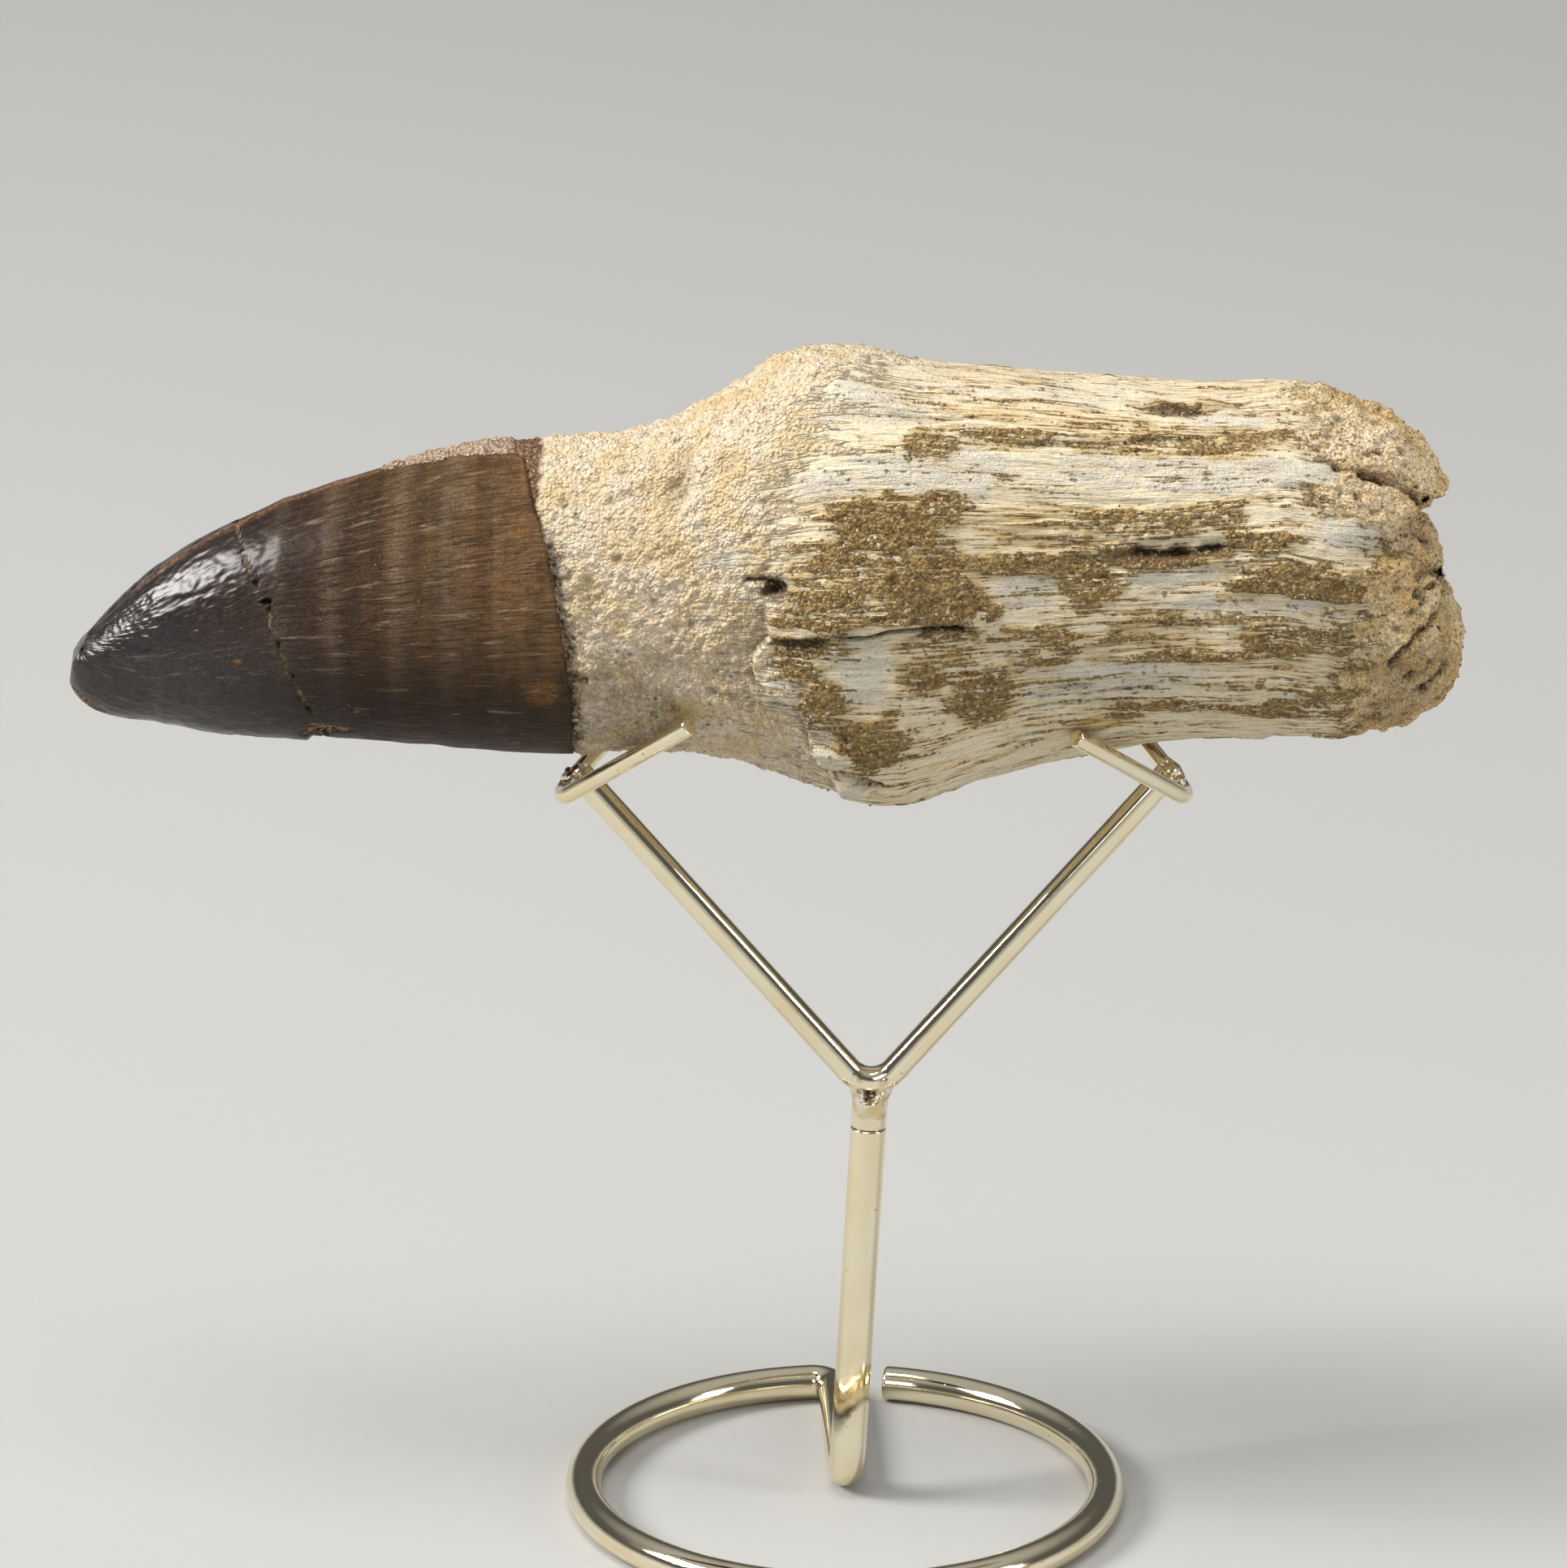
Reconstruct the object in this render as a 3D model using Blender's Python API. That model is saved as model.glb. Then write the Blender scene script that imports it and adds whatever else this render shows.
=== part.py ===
"""A fossil mosasaur tooth lying across the two cradles of a bent-wire display stand.

The tooth is one solid: the glossy crown, the waist below it and the broken bony root. The stand
is one heavy wire bent into a ring foot with an upright post, a short upper rod butted on the post,
a V-shaped fork wire brazed to that rod, and a V-shaped cradle wire brazed round the end of each
arm of the fork.

Sizes are in millimetres in the stand's own frame: the ring's centre is the origin, the floor is
z = 0, +X runs from the crown to the root, -Y is the side that is looked at, and +Z is up. An empty
moves the whole display so that the model's origin is under the middle of its box.
"""

import math

import bmesh
import bpy
from mathutils import Vector

MM = 0.001
GAP = 0.3  # left between pieces that touch

# --- the stand's wires ------------------------------------------------------------------------
WIRE_SIDES_RESOLUTION = 4  # bevel resolution of a wire, which gives 12 sides
FACET_TURN = math.radians(15)  # half a side of the 12, so that a flat side faces down
HEAVY_RADIUS = 1.5
FORK_RADIUS = 1.1
CRADLE_RADIUS = 0.7
CHAMFER = 0.25
REST_HEIGHT = HEAVY_RADIUS * math.cos(FACET_TURN)  # from the floor to the ring's centre line

RING_RADIUS = 21.4
RING_CUT_ANGLE = 9.2  # degrees from the back of the ring, clockwise from above
RING_BEND_ANGLE = 350.5
RING_STEP = 6.0
LEG_CORNER = (-0.75, 21.5)
LEG_BEND = 1.9
POST_BEND = 3.7
POST_FOOT_X = 0.13
POST_LEAN = 0.0483  # sideways travel for each millimetre of height

SEAM_HEIGHT = 32.3
ROD_TOP = 34.5
ROD_SIDES = 24

FORK_CORNER = (1.84, 35.4)
FORK_BEND = 2.4
LEFT_ARM_END = (-21.7, 62.6)
RIGHT_ARM_END = (25.25, 62.95)
CRADLE_BEND = FORK_RADIUS + CRADLE_RADIUS + GAP
CRADLE_BELOW_ARM_END = 0.55
LEFT_PRONGS = (14.7, 32.0, 36.0)  # length, and degrees that the front and back prongs splay
RIGHT_PRONGS = (13.6, 35.5, 50.0)
BEND_STEPS = 8

BRAZE_DOME = (1.2, 1.2, 0.5)

# --- the tooth --------------------------------------------------------------------------------
TIP_X = -62.0
TIP_Z = 70.7
END_X = 48.4
END_Z = 77.2
AROUND = 56
RINGS = 44
# Each section: distance along, height of its middle, half height, half depth, squareness.
SECTIONS = (
    (-60.9, 70.9, 2.4, 2.0, 2.0),
    (-58.4, 71.5, 4.5, 3.3, 2.0),
    (-54.5, 73.1, 6.4, 4.7, 1.95),
    (-49.5, 74.3, 8.3, 6.2, 1.9),
    (-44.0, 75.4, 9.6, 7.5, 1.9),
    (-38.0, 76.3, 10.8, 8.6, 1.9),
    (-32.0, 77.0, 12.0, 9.4, 1.9),
    (-27.0, 77.3, 12.6, 9.9, 1.95),
    (-22.0, 77.3, 12.8, 10.1, 2.0),
    (-17.5, 77.8, 12.8, 10.1, 2.0),
    (-13.5, 78.5, 13.5, 10.3, 2.0),
    (-9.5, 79.3, 15.1, 11.0, 2.0),
    (-6.0, 79.9, 16.6, 12.0, 2.0),
    (-2.5, 79.6, 17.8, 12.8, 2.05),
    (1.5, 78.7, 18.3, 13.2, 2.1),
    (5.5, 78.8, 17.7, 13.2, 2.1),
    (10.0, 79.4, 16.7, 12.6, 2.1),
    (15.0, 79.9, 15.8, 11.9, 2.1),
    (20.0, 80.1, 15.1, 11.5, 2.1),
    (27.0, 80.4, 14.2, 11.6, 2.15),
    (34.0, 80.6, 14.1, 12.0, 2.2),
    (38.5, 80.3, 13.5, 11.7, 2.2),
    (42.5, 79.9, 12.1, 10.7, 2.15),
    (45.5, 79.1, 10.3, 9.2, 2.1),
    (47.3, 77.9, 7.6, 7.0, 2.1),
)
# Each swelling: place along, bearing in degrees (0 front, 90 top), reach, height.
SWELLINGS = (
    (1.0, -40.0, 6.0, 0.6),
    (-2.0, 0.0, 5.0, 0.6),
    (3.0, 172.0, 7.0, 0.8),
    (45.0, 52.0, 3.5, 0.5),
    (45.5, -20.0, 4.5, 0.8),
    (44.0, 200.0, 5.0, 0.9),
    (45.0, 30.0, 3.0, -0.8),
    (-16.0, 20.0, 6.0, -0.4),
)
FLUTES = 5
FLUTE_DEPTH = 0.3
FLUTE_START_X = 8.0
FLUTE_FADE = 8.0
CROWN_TURN = 1.2  # how far the tip swings to the back
CROWN_TURN_START_X = -30.0


def clear_scene() -> None:
    """Remove whatever the scene holds before the display is built."""
    for old in list(bpy.data.objects):
        bpy.data.objects.remove(old, do_unlink=True)


def material(name, colour, roughness, metallic=0.0):
    """Return a Principled material with the finish given."""
    made = bpy.data.materials.new(name)
    made.use_nodes = True
    shader = made.node_tree.nodes["Principled BSDF"]
    shader.inputs["Base Color"].default_value = (*colour, 1.0)
    shader.inputs["Roughness"].default_value = roughness
    shader.inputs["Metallic"].default_value = metallic
    return made


def in_metres(point):
    """Return a point of the stand's frame in metres."""
    return Vector(point) * MM


def fillet(before, corner, after, radius):
    """Return the points of the arc that rounds a corner of a wire."""
    into = (corner - before).normalized()
    out = (after - corner).normalized()
    turn = into.angle(out)
    run = radius * math.tan(turn / 2)
    start = corner - into * run
    inward = (out - into * into.dot(out)).normalized()
    centre = start + inward * radius
    points = []
    for step in range(BEND_STEPS + 1):
        angle = turn * step / BEND_STEPS
        points.append(centre - inward * radius * math.cos(angle) + into * radius * math.sin(angle))
    return points


def bent_path(corners, radii):
    """Return the centre line of a wire that runs through corners, each rounded to its radius."""
    corners = [Vector(corner) for corner in corners]
    path = [corners[0]]
    for index, radius in enumerate(radii, start=1):
        path += fillet(corners[index - 1], corners[index], corners[index + 1], radius)
    path.append(corners[-1])
    return path


def chamfered_ends(path, at_start, at_end):
    """Return (point, thickness) pairs that narrow over the last bit of the chosen ends."""
    pairs = [(point, 1.0) for point in path]
    if at_start:
        step = (path[1] - path[0]).normalized() * CHAMFER
        pairs = [(path[0], None), (path[0] + step, 1.0), *pairs[1:]]
    if at_end:
        step = (path[-2] - path[-1]).normalized() * CHAMFER
        pairs = [*pairs[:-1], (path[-1] + step, 1.0), (path[-1], None)]
    return pairs


def wire(name, path, radius, finish, chamfer_start=False, chamfer_end=False):
    """Add a wire as a bevelled curve along a centre line given in millimetres."""
    pairs = chamfered_ends(path, chamfer_start, chamfer_end)
    narrow = (radius - CHAMFER) / radius
    data = bpy.data.curves.new(name, "CURVE")
    data.dimensions = "3D"
    data.twist_mode = "Z_UP"
    data.bevel_depth = radius * MM
    data.bevel_resolution = WIRE_SIDES_RESOLUTION
    data.use_fill_caps = True
    spline = data.splines.new("POLY")
    spline.points.add(len(pairs) - 1)
    for target, (point, thickness) in zip(spline.points, pairs):
        target.co = (*in_metres(point), 1.0)
        target.radius = narrow if thickness is None else thickness
        target.tilt = FACET_TURN
    data.materials.append(finish)
    return add_object(name, data)


def add_object(name, data):
    """Add an object to the display's collection, under the empty that places it."""
    made = bpy.data.objects.new(name, data)
    bpy.data.collections["mosasaur_tooth_display"].objects.link(made)
    made.parent = bpy.data.objects["display_origin"]
    return made


def mesh_object(name, shape, finish):
    """Add a smooth-shaded object from a bmesh whose points are in millimetres."""
    bmesh.ops.scale(shape, vec=(MM, MM, MM), verts=shape.verts)
    data = bpy.data.meshes.new(name)
    shape.to_mesh(data)
    shape.free()
    data.shade_smooth()
    data.set_sharp_from_angle(angle=math.radians(40))
    data.materials.append(finish)
    return add_object(name, data)


def ring_point(degrees):
    """Return a point of the ring's centre line, by its angle from the back, clockwise."""
    angle = math.radians(degrees)
    return Vector((RING_RADIUS * math.sin(angle), RING_RADIUS * math.cos(angle), REST_HEIGHT))


def post_point(height):
    """Return the point of the leaning post's axis at a height."""
    return Vector((POST_FOOT_X + POST_LEAN * (height - REST_HEIGHT), 0.0, height))


def base_wire(finish):
    """Add the one wire that is the ring foot, the leg across it and the post."""
    sweep = RING_BEND_ANGLE - RING_CUT_ANGLE
    turns = math.ceil(sweep / RING_STEP)
    ring = [ring_point(RING_CUT_ANGLE + sweep * step / turns) for step in range(turns + 1)]
    corners = [
        ring[-1],
        (*LEG_CORNER, REST_HEIGHT),
        post_point(REST_HEIGHT),
        post_point(SEAM_HEIGHT - GAP / 2),
    ]
    path = ring[:-1] + bent_path(corners, (LEG_BEND, POST_BEND))
    return wire("base_wire", path, HEAVY_RADIUS, finish, chamfer_start=True, chamfer_end=True)


def turned_rod(bottom, top, radius, end_chamfer):
    """Return a bmesh of a round rod between two points, with its lower rim chamfered."""
    length = (top - bottom).length
    shape = bmesh.new()
    bmesh.ops.create_cone(
        shape,
        cap_ends=True,
        segments=ROD_SIDES,
        radius1=radius,
        radius2=radius,
        depth=length,
    )
    if end_chamfer:
        rim = [edge for edge in shape.edges if all(v.co.z < 0 for v in edge.verts)]
        bmesh.ops.bevel(shape, geom=rim, offset=end_chamfer, segments=1, affect="EDGES")
    turn = Vector((0, 0, 1)).rotation_difference(top - bottom)
    bmesh.ops.rotate(shape, verts=shape.verts, cent=(0, 0, 0), matrix=turn.to_matrix())
    bmesh.ops.translate(shape, verts=shape.verts, vec=(top + bottom) / 2)
    return shape


def upper_rod(finish):
    """Add the short rod that stands on the post and carries the fork."""
    shape = turned_rod(post_point(SEAM_HEIGHT + GAP / 2), post_point(ROD_TOP), HEAVY_RADIUS, CHAMFER)
    return mesh_object("upper_rod", shape, finish)


def arm_end(place):
    """Return an arm's end as a point of the stand's frame."""
    return Vector((place[0], 0.0, place[1]))


def fork_path():
    """Return the centre line of the fork wire, from the left arm's end to the right arm's."""
    corner = Vector((FORK_CORNER[0], 0.0, FORK_CORNER[1]))
    return bent_path([arm_end(LEFT_ARM_END), corner, arm_end(RIGHT_ARM_END)], (FORK_BEND,))


def arm_frame(place):
    """Return an arm's end, its direction and the square direction that its cradle opens in."""
    end = arm_end(place)
    along = (end - Vector((FORK_CORNER[0], 0.0, FORK_CORNER[1]))).normalized()
    side = -1.0 if along.x > 0 else 1.0
    opens = Vector((side * along.z, 0.0, abs(along.x)))
    return end, along, opens


def cradle_wire(name, place, prongs, finish):
    """Add one cradle: a wire bent round an arm's end, square to it, with two prongs."""
    end, along, opens = arm_frame(place)
    length, front_splay, back_splay = prongs
    centre = end - along * CRADLE_BELOW_ARM_END
    back = Vector((0, 1, 0))
    first = math.radians(front_splay - 90)
    last = math.radians(90 - back_splay)
    crook = []
    for step in range(BEND_STEPS + 1):
        angle = first + (last - first) * step / BEND_STEPS
        crook.append(centre + (back * math.sin(angle) - opens * math.cos(angle)) * CRADLE_BEND)
    front_prong = back * math.cos(first) + opens * math.sin(first)
    back_prong = back * math.cos(last) + opens * math.sin(last)
    path = [crook[0] - front_prong * length, *crook, crook[-1] + back_prong * length]
    return wire(name, path, CRADLE_RADIUS, finish)


def braze_dome(name, place, finish):
    """Add the bead of braze that caps an arm's end inside its cradle's crook."""
    end, along, _ = arm_frame(place)
    shape = bmesh.new()
    bmesh.ops.create_uvsphere(shape, u_segments=16, v_segments=8, radius=1.0)
    bmesh.ops.scale(shape, vec=BRAZE_DOME, verts=shape.verts)
    turn = Vector((0, 0, 1)).rotation_difference(along)
    bmesh.ops.rotate(shape, verts=shape.verts, cent=(0, 0, 0), matrix=turn.to_matrix())
    bmesh.ops.translate(shape, verts=shape.verts, vec=end + along * (GAP + BRAZE_DOME[2]))
    return mesh_object(name, shape, finish)


def tube_mesh(name, path, radius):
    """Return a mesh object of a tube along a path, to be used as a cutter."""
    guide = wire(name, path, radius, bpy.data.materials["braze"])
    graph = bpy.context.evaluated_depsgraph_get()
    data = bpy.data.meshes.new_from_object(guide.evaluated_get(graph))
    solid = bmesh.new()
    solid.from_mesh(data)
    bmesh.ops.remove_doubles(solid, verts=solid.verts, dist=MM * 0.001)
    solid.to_mesh(data)
    solid.free()
    bpy.data.objects.remove(guide)
    cutter = bpy.data.objects.new(name, data)
    bpy.data.collections["cutters"].objects.link(cutter)
    cutter.parent = bpy.data.objects["display_origin"]
    cutter.hide_render = True
    cutter.display_type = "WIRE"
    return cutter


def braze_saddle(finish):
    """Add the braze between the rod's top and the fork, hollowed where the fork lies in it."""
    bottom = post_point(ROD_TOP + GAP)
    top = post_point(FORK_CORNER[1] + 1.2)
    saddle = mesh_object("braze_saddle", turned_rod(bottom, top, HEAVY_RADIUS, 0.0), finish)
    cut = saddle.modifiers.new("fork_bed", "BOOLEAN")
    cut.operation = "DIFFERENCE"
    cut.object = tube_mesh("fork_clearance", fork_path(), FORK_RADIUS + GAP)
    return saddle


def smooth_between(table, x):
    """Return the values of a table's columns at x, on a smooth curve through its rows."""
    last = len(table) - 1
    index = 0
    while index < last - 1 and x > table[index + 1][0]:
        index += 1
    low, high = table[index], table[index + 1]
    before, after = table[max(index - 1, 0)], table[min(index + 2, last)]
    width = high[0] - low[0]
    t = min(max((x - low[0]) / width, 0.0), 1.0)
    values = []
    for column in range(1, len(low)):
        slope_low = (high[column] - before[column]) / (high[0] - before[0]) * width
        slope_high = (after[column] - low[column]) / (after[0] - low[0]) * width
        rise = high[column] - low[column]
        bend = slope_low * (t - 2 * t**2 + t**3) + slope_high * (t**3 - t**2)
        values.append(low[column] + rise * (3 * t**2 - 2 * t**3) + bend)
    return values


def rounded_power(value, squareness):
    """Return a sine or cosine bent towards a squarer or a leaner oval."""
    return math.copysign(abs(value) ** (2.0 / squareness), value)


def relief(x, bearing):
    """Return how far the tooth's surface stands off its plain section, in millimetres."""
    height = 0.0
    middle, half_height, half_depth, _ = smooth_between(SECTIONS, x)
    for place, degrees, reach, rise in SWELLINGS:
        turn = math.remainder(bearing - math.radians(degrees), 2 * math.pi)
        girth = turn * (half_height + half_depth) / 2
        height += rise * math.exp(-((x - place) ** 2 + girth**2) / reach**2)
    grown = min(max((x - FLUTE_START_X) / FLUTE_FADE, 0.0), 1.0)
    return height + FLUTE_DEPTH * grown * math.cos(FLUTES * bearing + 0.12 * x)


def tooth_point(x, bearing):
    """Return the point of the tooth's surface at a place along it and a bearing round it."""
    middle, half_height, half_depth, squareness = smooth_between(SECTIONS, x)
    front = rounded_power(math.cos(bearing), squareness)
    up = rounded_power(math.sin(bearing), squareness)
    off = relief(x, bearing)
    turned = max(CROWN_TURN_START_X - x, 0.0) / (CROWN_TURN_START_X - TIP_X)
    swing = CROWN_TURN * turned**2
    return (x, swing - (half_depth + off) * front, middle + (half_height + off) * up)


def mosasaur_tooth(finish):
    """Add the tooth as one loft from the crown's tip to the broken end of the root."""
    first, last = SECTIONS[0][0], SECTIONS[-1][0]
    shape = bmesh.new()
    rings = []
    for step in range(RINGS):
        share = step / (RINGS - 1)
        eased = share - 0.09 * math.sin(2 * math.pi * share)
        x = first + (last - first) * eased
        bearings = [2 * math.pi * side / AROUND for side in range(AROUND)]
        rings.append([shape.verts.new(tooth_point(x, bearing)) for bearing in bearings])
    for near, far in zip(rings, rings[1:]):
        for side in range(AROUND):
            beside = (side + 1) % AROUND
            shape.faces.new((near[side], near[beside], far[beside], far[side]))
    tip = shape.verts.new((TIP_X, CROWN_TURN, TIP_Z))
    end = shape.verts.new((END_X, 0.0, END_Z))
    for side in range(AROUND):
        beside = (side + 1) % AROUND
        shape.faces.new((tip, rings[0][beside], rings[0][side]))
        shape.faces.new((end, rings[-1][side], rings[-1][beside]))
    bmesh.ops.recalc_face_normals(shape, faces=shape.faces)
    return mesh_object("mosasaur_tooth", shape, finish)


def main() -> None:
    """Build the display."""
    clear_scene()
    for name in ("mosasaur_tooth_display", "cutters"):
        bpy.context.scene.collection.children.link(bpy.data.collections.new(name))
    origin = bpy.data.objects.new("display_origin", None)
    bpy.data.collections["mosasaur_tooth_display"].objects.link(origin)
    origin.location = in_metres((-(TIP_X + END_X) / 2, 0.0, 0.0))
    fossil = material("fossil_bone_and_enamel", (0.55, 0.44, 0.30), 0.75)
    plated = material("pale_gold_plate", (0.86, 0.78, 0.55), 0.16, metallic=1.0)
    braze = material("braze", (0.80, 0.78, 0.70), 0.25, metallic=1.0)
    mosasaur_tooth(fossil)
    base_wire(plated)
    upper_rod(plated)
    wire("fork_wire", fork_path(), FORK_RADIUS, plated)
    cradle_wire("cradle_left", LEFT_ARM_END, LEFT_PRONGS, plated)
    cradle_wire("cradle_right", RIGHT_ARM_END, RIGHT_PRONGS, plated)
    braze_saddle(braze)
    braze_dome("braze_left", LEFT_ARM_END, braze)
    braze_dome("braze_right", RIGHT_ARM_END, braze)


if __name__ == "__main__":
    main()
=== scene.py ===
"""The looks of a fossil mosasaur tooth lying on its gold-plated wire stand.

The tooth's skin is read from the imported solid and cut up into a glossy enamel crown, a sandy neck
and a fibrous bone root, each worn, cracked and stained in its own way, with loose grains of sand
on top. The stand's wires are swept along the same bends as the solids, and the braze is melted
between them. Lengths are in millimetres until a mesh is made, in the frame that the solids use.
"""

import logging
import math
from dataclasses import dataclass
from enum import Enum

import bmesh
import bpy
import numpy as np
from bpy.types import ID, Material, Mesh, NodeSocket, Object
from mathutils import Matrix, Vector
from mathutils.bvhtree import BVHTree


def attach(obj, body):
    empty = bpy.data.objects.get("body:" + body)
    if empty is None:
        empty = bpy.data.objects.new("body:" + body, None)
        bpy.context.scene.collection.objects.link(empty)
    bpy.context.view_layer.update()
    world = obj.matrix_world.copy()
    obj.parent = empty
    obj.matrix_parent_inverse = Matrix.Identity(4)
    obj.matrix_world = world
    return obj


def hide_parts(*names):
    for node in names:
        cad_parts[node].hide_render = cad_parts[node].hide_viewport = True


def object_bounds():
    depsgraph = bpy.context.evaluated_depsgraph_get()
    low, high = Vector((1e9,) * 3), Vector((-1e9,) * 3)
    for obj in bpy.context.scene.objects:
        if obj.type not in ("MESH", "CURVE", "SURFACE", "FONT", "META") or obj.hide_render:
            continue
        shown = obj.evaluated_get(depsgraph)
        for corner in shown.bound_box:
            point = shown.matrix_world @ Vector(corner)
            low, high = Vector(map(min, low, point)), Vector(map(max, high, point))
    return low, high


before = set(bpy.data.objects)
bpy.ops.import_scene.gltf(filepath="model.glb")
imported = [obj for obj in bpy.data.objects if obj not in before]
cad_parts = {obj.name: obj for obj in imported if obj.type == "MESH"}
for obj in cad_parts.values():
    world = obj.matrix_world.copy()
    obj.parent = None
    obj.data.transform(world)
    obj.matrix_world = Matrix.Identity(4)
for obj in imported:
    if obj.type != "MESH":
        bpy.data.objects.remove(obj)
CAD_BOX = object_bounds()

LOG = logging.getLogger("fossil_tooth")
MM = 0.001

Triple = tuple[float, float, float]
Colour = Triple
Numbers = np.ndarray
# A line of (place along the tooth, bearing) points, or a table of (key, value) rows.
Route = tuple[tuple[float, float], ...]
Table = Route
# Rows of a Blot's numbers: place along, bearing, half length, half width, strength.
Patches = tuple[tuple[float, ...], ...]
# What a finish reads at each point of the skin, by name.
Marks = dict[str, Numbers]


class Slot(Enum):
    """The record's material slots."""

    TOOTH = "fossil_tooth"
    WIRE = "gold_plated_wire"
    BRAZE = "braze"


# ---- Shader writing ----


class Sock:
    """One node output of a material, with arithmetic that adds Math nodes."""

    def __init__(self, bench: "Bench", socket: NodeSocket) -> None:
        """Keep the output and the bench that it belongs to."""
        self.bench = bench
        self.socket = socket

    def _math(self, operation: str, *values: "Sock | float") -> "Sock":
        """Return a Math node's result over the values given, in order."""
        return self.bench.node("ShaderNodeMath", {"operation": operation}, dict(enumerate(values)))

    def __add__(self, other: "Sock | float") -> "Sock":
        """Return self + other."""
        return self._math("ADD", self, other)

    def __radd__(self, other: float) -> "Sock":
        """Return other + self."""
        return self._math("ADD", other, self)

    def __sub__(self, other: "Sock | float") -> "Sock":
        """Return self - other."""
        return self._math("SUBTRACT", self, other)

    def __rsub__(self, other: float) -> "Sock":
        """Return other - self."""
        return self._math("SUBTRACT", other, self)

    def __mul__(self, other: "Sock | float") -> "Sock":
        """Return self * other."""
        return self._math("MULTIPLY", self, other)

    def __rmul__(self, other: float) -> "Sock":
        """Return other * self."""
        return self._math("MULTIPLY", other, self)

    def __truediv__(self, other: "Sock | float") -> "Sock":
        """Return self / other."""
        return self._math("DIVIDE", self, other)

    def held(self) -> "Sock":
        """Return the value held between 0 and 1."""
        return self.bench.node("ShaderNodeClamp", {}, {0: self})

    def past(self, low: float, high: float) -> "Sock":
        """Return 0 below low and 1 above high, with an eased rise between them."""
        settings = {"interpolation_type": "SMOOTHSTEP"}
        return self.bench.node("ShaderNodeMapRange", settings, {0: self, 1: low, 2: high})


class Wiring:
    """A node tree, and the one way that nodes are added to it."""

    def __init__(self, tree: bpy.types.NodeTree) -> None:
        """Keep the tree."""
        self.tree = tree

    def add(
        self,
        kind: str,
        settings: dict[str, object],
        inputs: dict[int | str, object],
        output: int | str = 0,
    ) -> NodeSocket | None:
        """Add a node, with its settings made before its sockets are filled.

        Args:
            kind: The node's type.
            settings: The node's own properties; "stops" holds a colour ramp's stops.
            inputs: A value or another node's output for each socket, by index or name.
            output: The output that is returned.

        Returns:
            The chosen output, or None from a node that has none.
        """
        made = self.tree.nodes.new(kind)
        for key, value in settings.items():
            if key == "stops":
                ramp = made.color_ramp.elements
                while len(ramp) < len(value):
                    ramp.new(0.5)
                for element, (place, colour) in zip(ramp, value):
                    element.position, element.color = place, (*colour, 1.0)
            else:
                setattr(made, key, value)
        for key, value in inputs.items():
            value = value.socket if isinstance(value, Sock) else value
            if isinstance(value, NodeSocket):
                self.tree.links.new(value, made.inputs[key])
            elif made.inputs[key].type == "RGBA":
                made.inputs[key].default_value = (*value, 1.0)
            else:
                made.inputs[key].default_value = value
        return made.outputs[output] if len(made.outputs) else None


class Bench(Wiring):
    """A material's node tree and the few patterns that the finishes are made of."""

    def __init__(self, name: str) -> None:
        """Make an empty node material.

        Args:
            name: The material's name.
        """
        self.material = bpy.data.materials.new(name)
        self.material.use_nodes = True
        super().__init__(self.material.node_tree)
        self.tree.nodes.clear()

    def node(self, kind: str, *given: object) -> Sock:
        """Add a node as add does, and wrap its output."""
        return Sock(self, self.add(kind, *given))

    def attribute(self, name: str, output: str = "Fac") -> Sock:
        """Return a named attribute of the mesh."""
        return self.node("ShaderNodeAttribute", {"attribute_name": name}, {}, output)

    def place(self) -> Sock:
        """Return the object's own coordinates in millimetres."""
        where = self.node("ShaderNodeTexCoord", {}, {}, "Object")
        return self.scaled(where, 1.0 / MM)

    def scaled(self, vector: Sock | Colour, factor: Sock | float) -> Sock:
        """Return a vector or colour times a number."""
        return self.node("ShaderNodeVectorMath", {"operation": "SCALE"}, {0: vector, 3: factor})

    def stretched(self, vector: Sock, factors: Triple) -> Sock:
        """Return a vector times three numbers, one for each axis."""
        settings = {"operation": "MULTIPLY"}
        return self.node("ShaderNodeVectorMath", settings, {0: vector, 1: factors})

    def noise(self, place: Sock, size: float, detail: float = 3.0, bend: float = 0.0) -> Sock:
        """Return soft noise whose patches are about size across."""
        inputs = {"Vector": place, "Scale": 1.0 / size, "Detail": detail, "Distortion": bend}
        return self.node("ShaderNodeTexNoise", {}, inputs)

    def cells(self, place: Sock, size: float, output: str = "Distance") -> Sock:
        """Return a grain pattern: distance to a grain's middle, or its own colour."""
        inputs = {"Vector": place, "Scale": 1.0 / size}
        return self.node("ShaderNodeTexVoronoi", {}, inputs, output)

    def blend(self, share: Sock | float, first: Sock | Colour, second: Sock | Colour) -> Sock:
        """Return a colour between two others."""
        inputs = {0: share, 6: first, 7: second}
        return self.node("ShaderNodeMix", {"data_type": "RGBA"}, inputs, 2)

    def split(self, vector: Sock, axis: int) -> Sock:
        """Return one axis of a vector."""
        return self.node("ShaderNodeSeparateXYZ", {}, {0: vector}, axis)

    def bumped(self, height: Sock, distance_mm: float, strength: float = 1.0) -> Sock:
        """Return a normal that follows a height of 0 to 1 times a distance."""
        inputs = {"Strength": strength, "Distance": distance_mm * MM, "Height": height}
        return self.node("ShaderNodeBump", {}, inputs)

    def done(self, **sockets: object) -> Material:
        """Close the tree with a Principled shader.

        Args:
            sockets: Its inputs by name, with _ for a space.

        Returns:
            The finished material.
        """
        inputs = {key.replace("_", " "): value for key, value in sockets.items()}
        shader = self.add("ShaderNodeBsdfPrincipled", {}, inputs)
        self.add("ShaderNodeOutputMaterial", {}, {"Surface": shader})
        return self.material


# ---- Finishes ----


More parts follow.
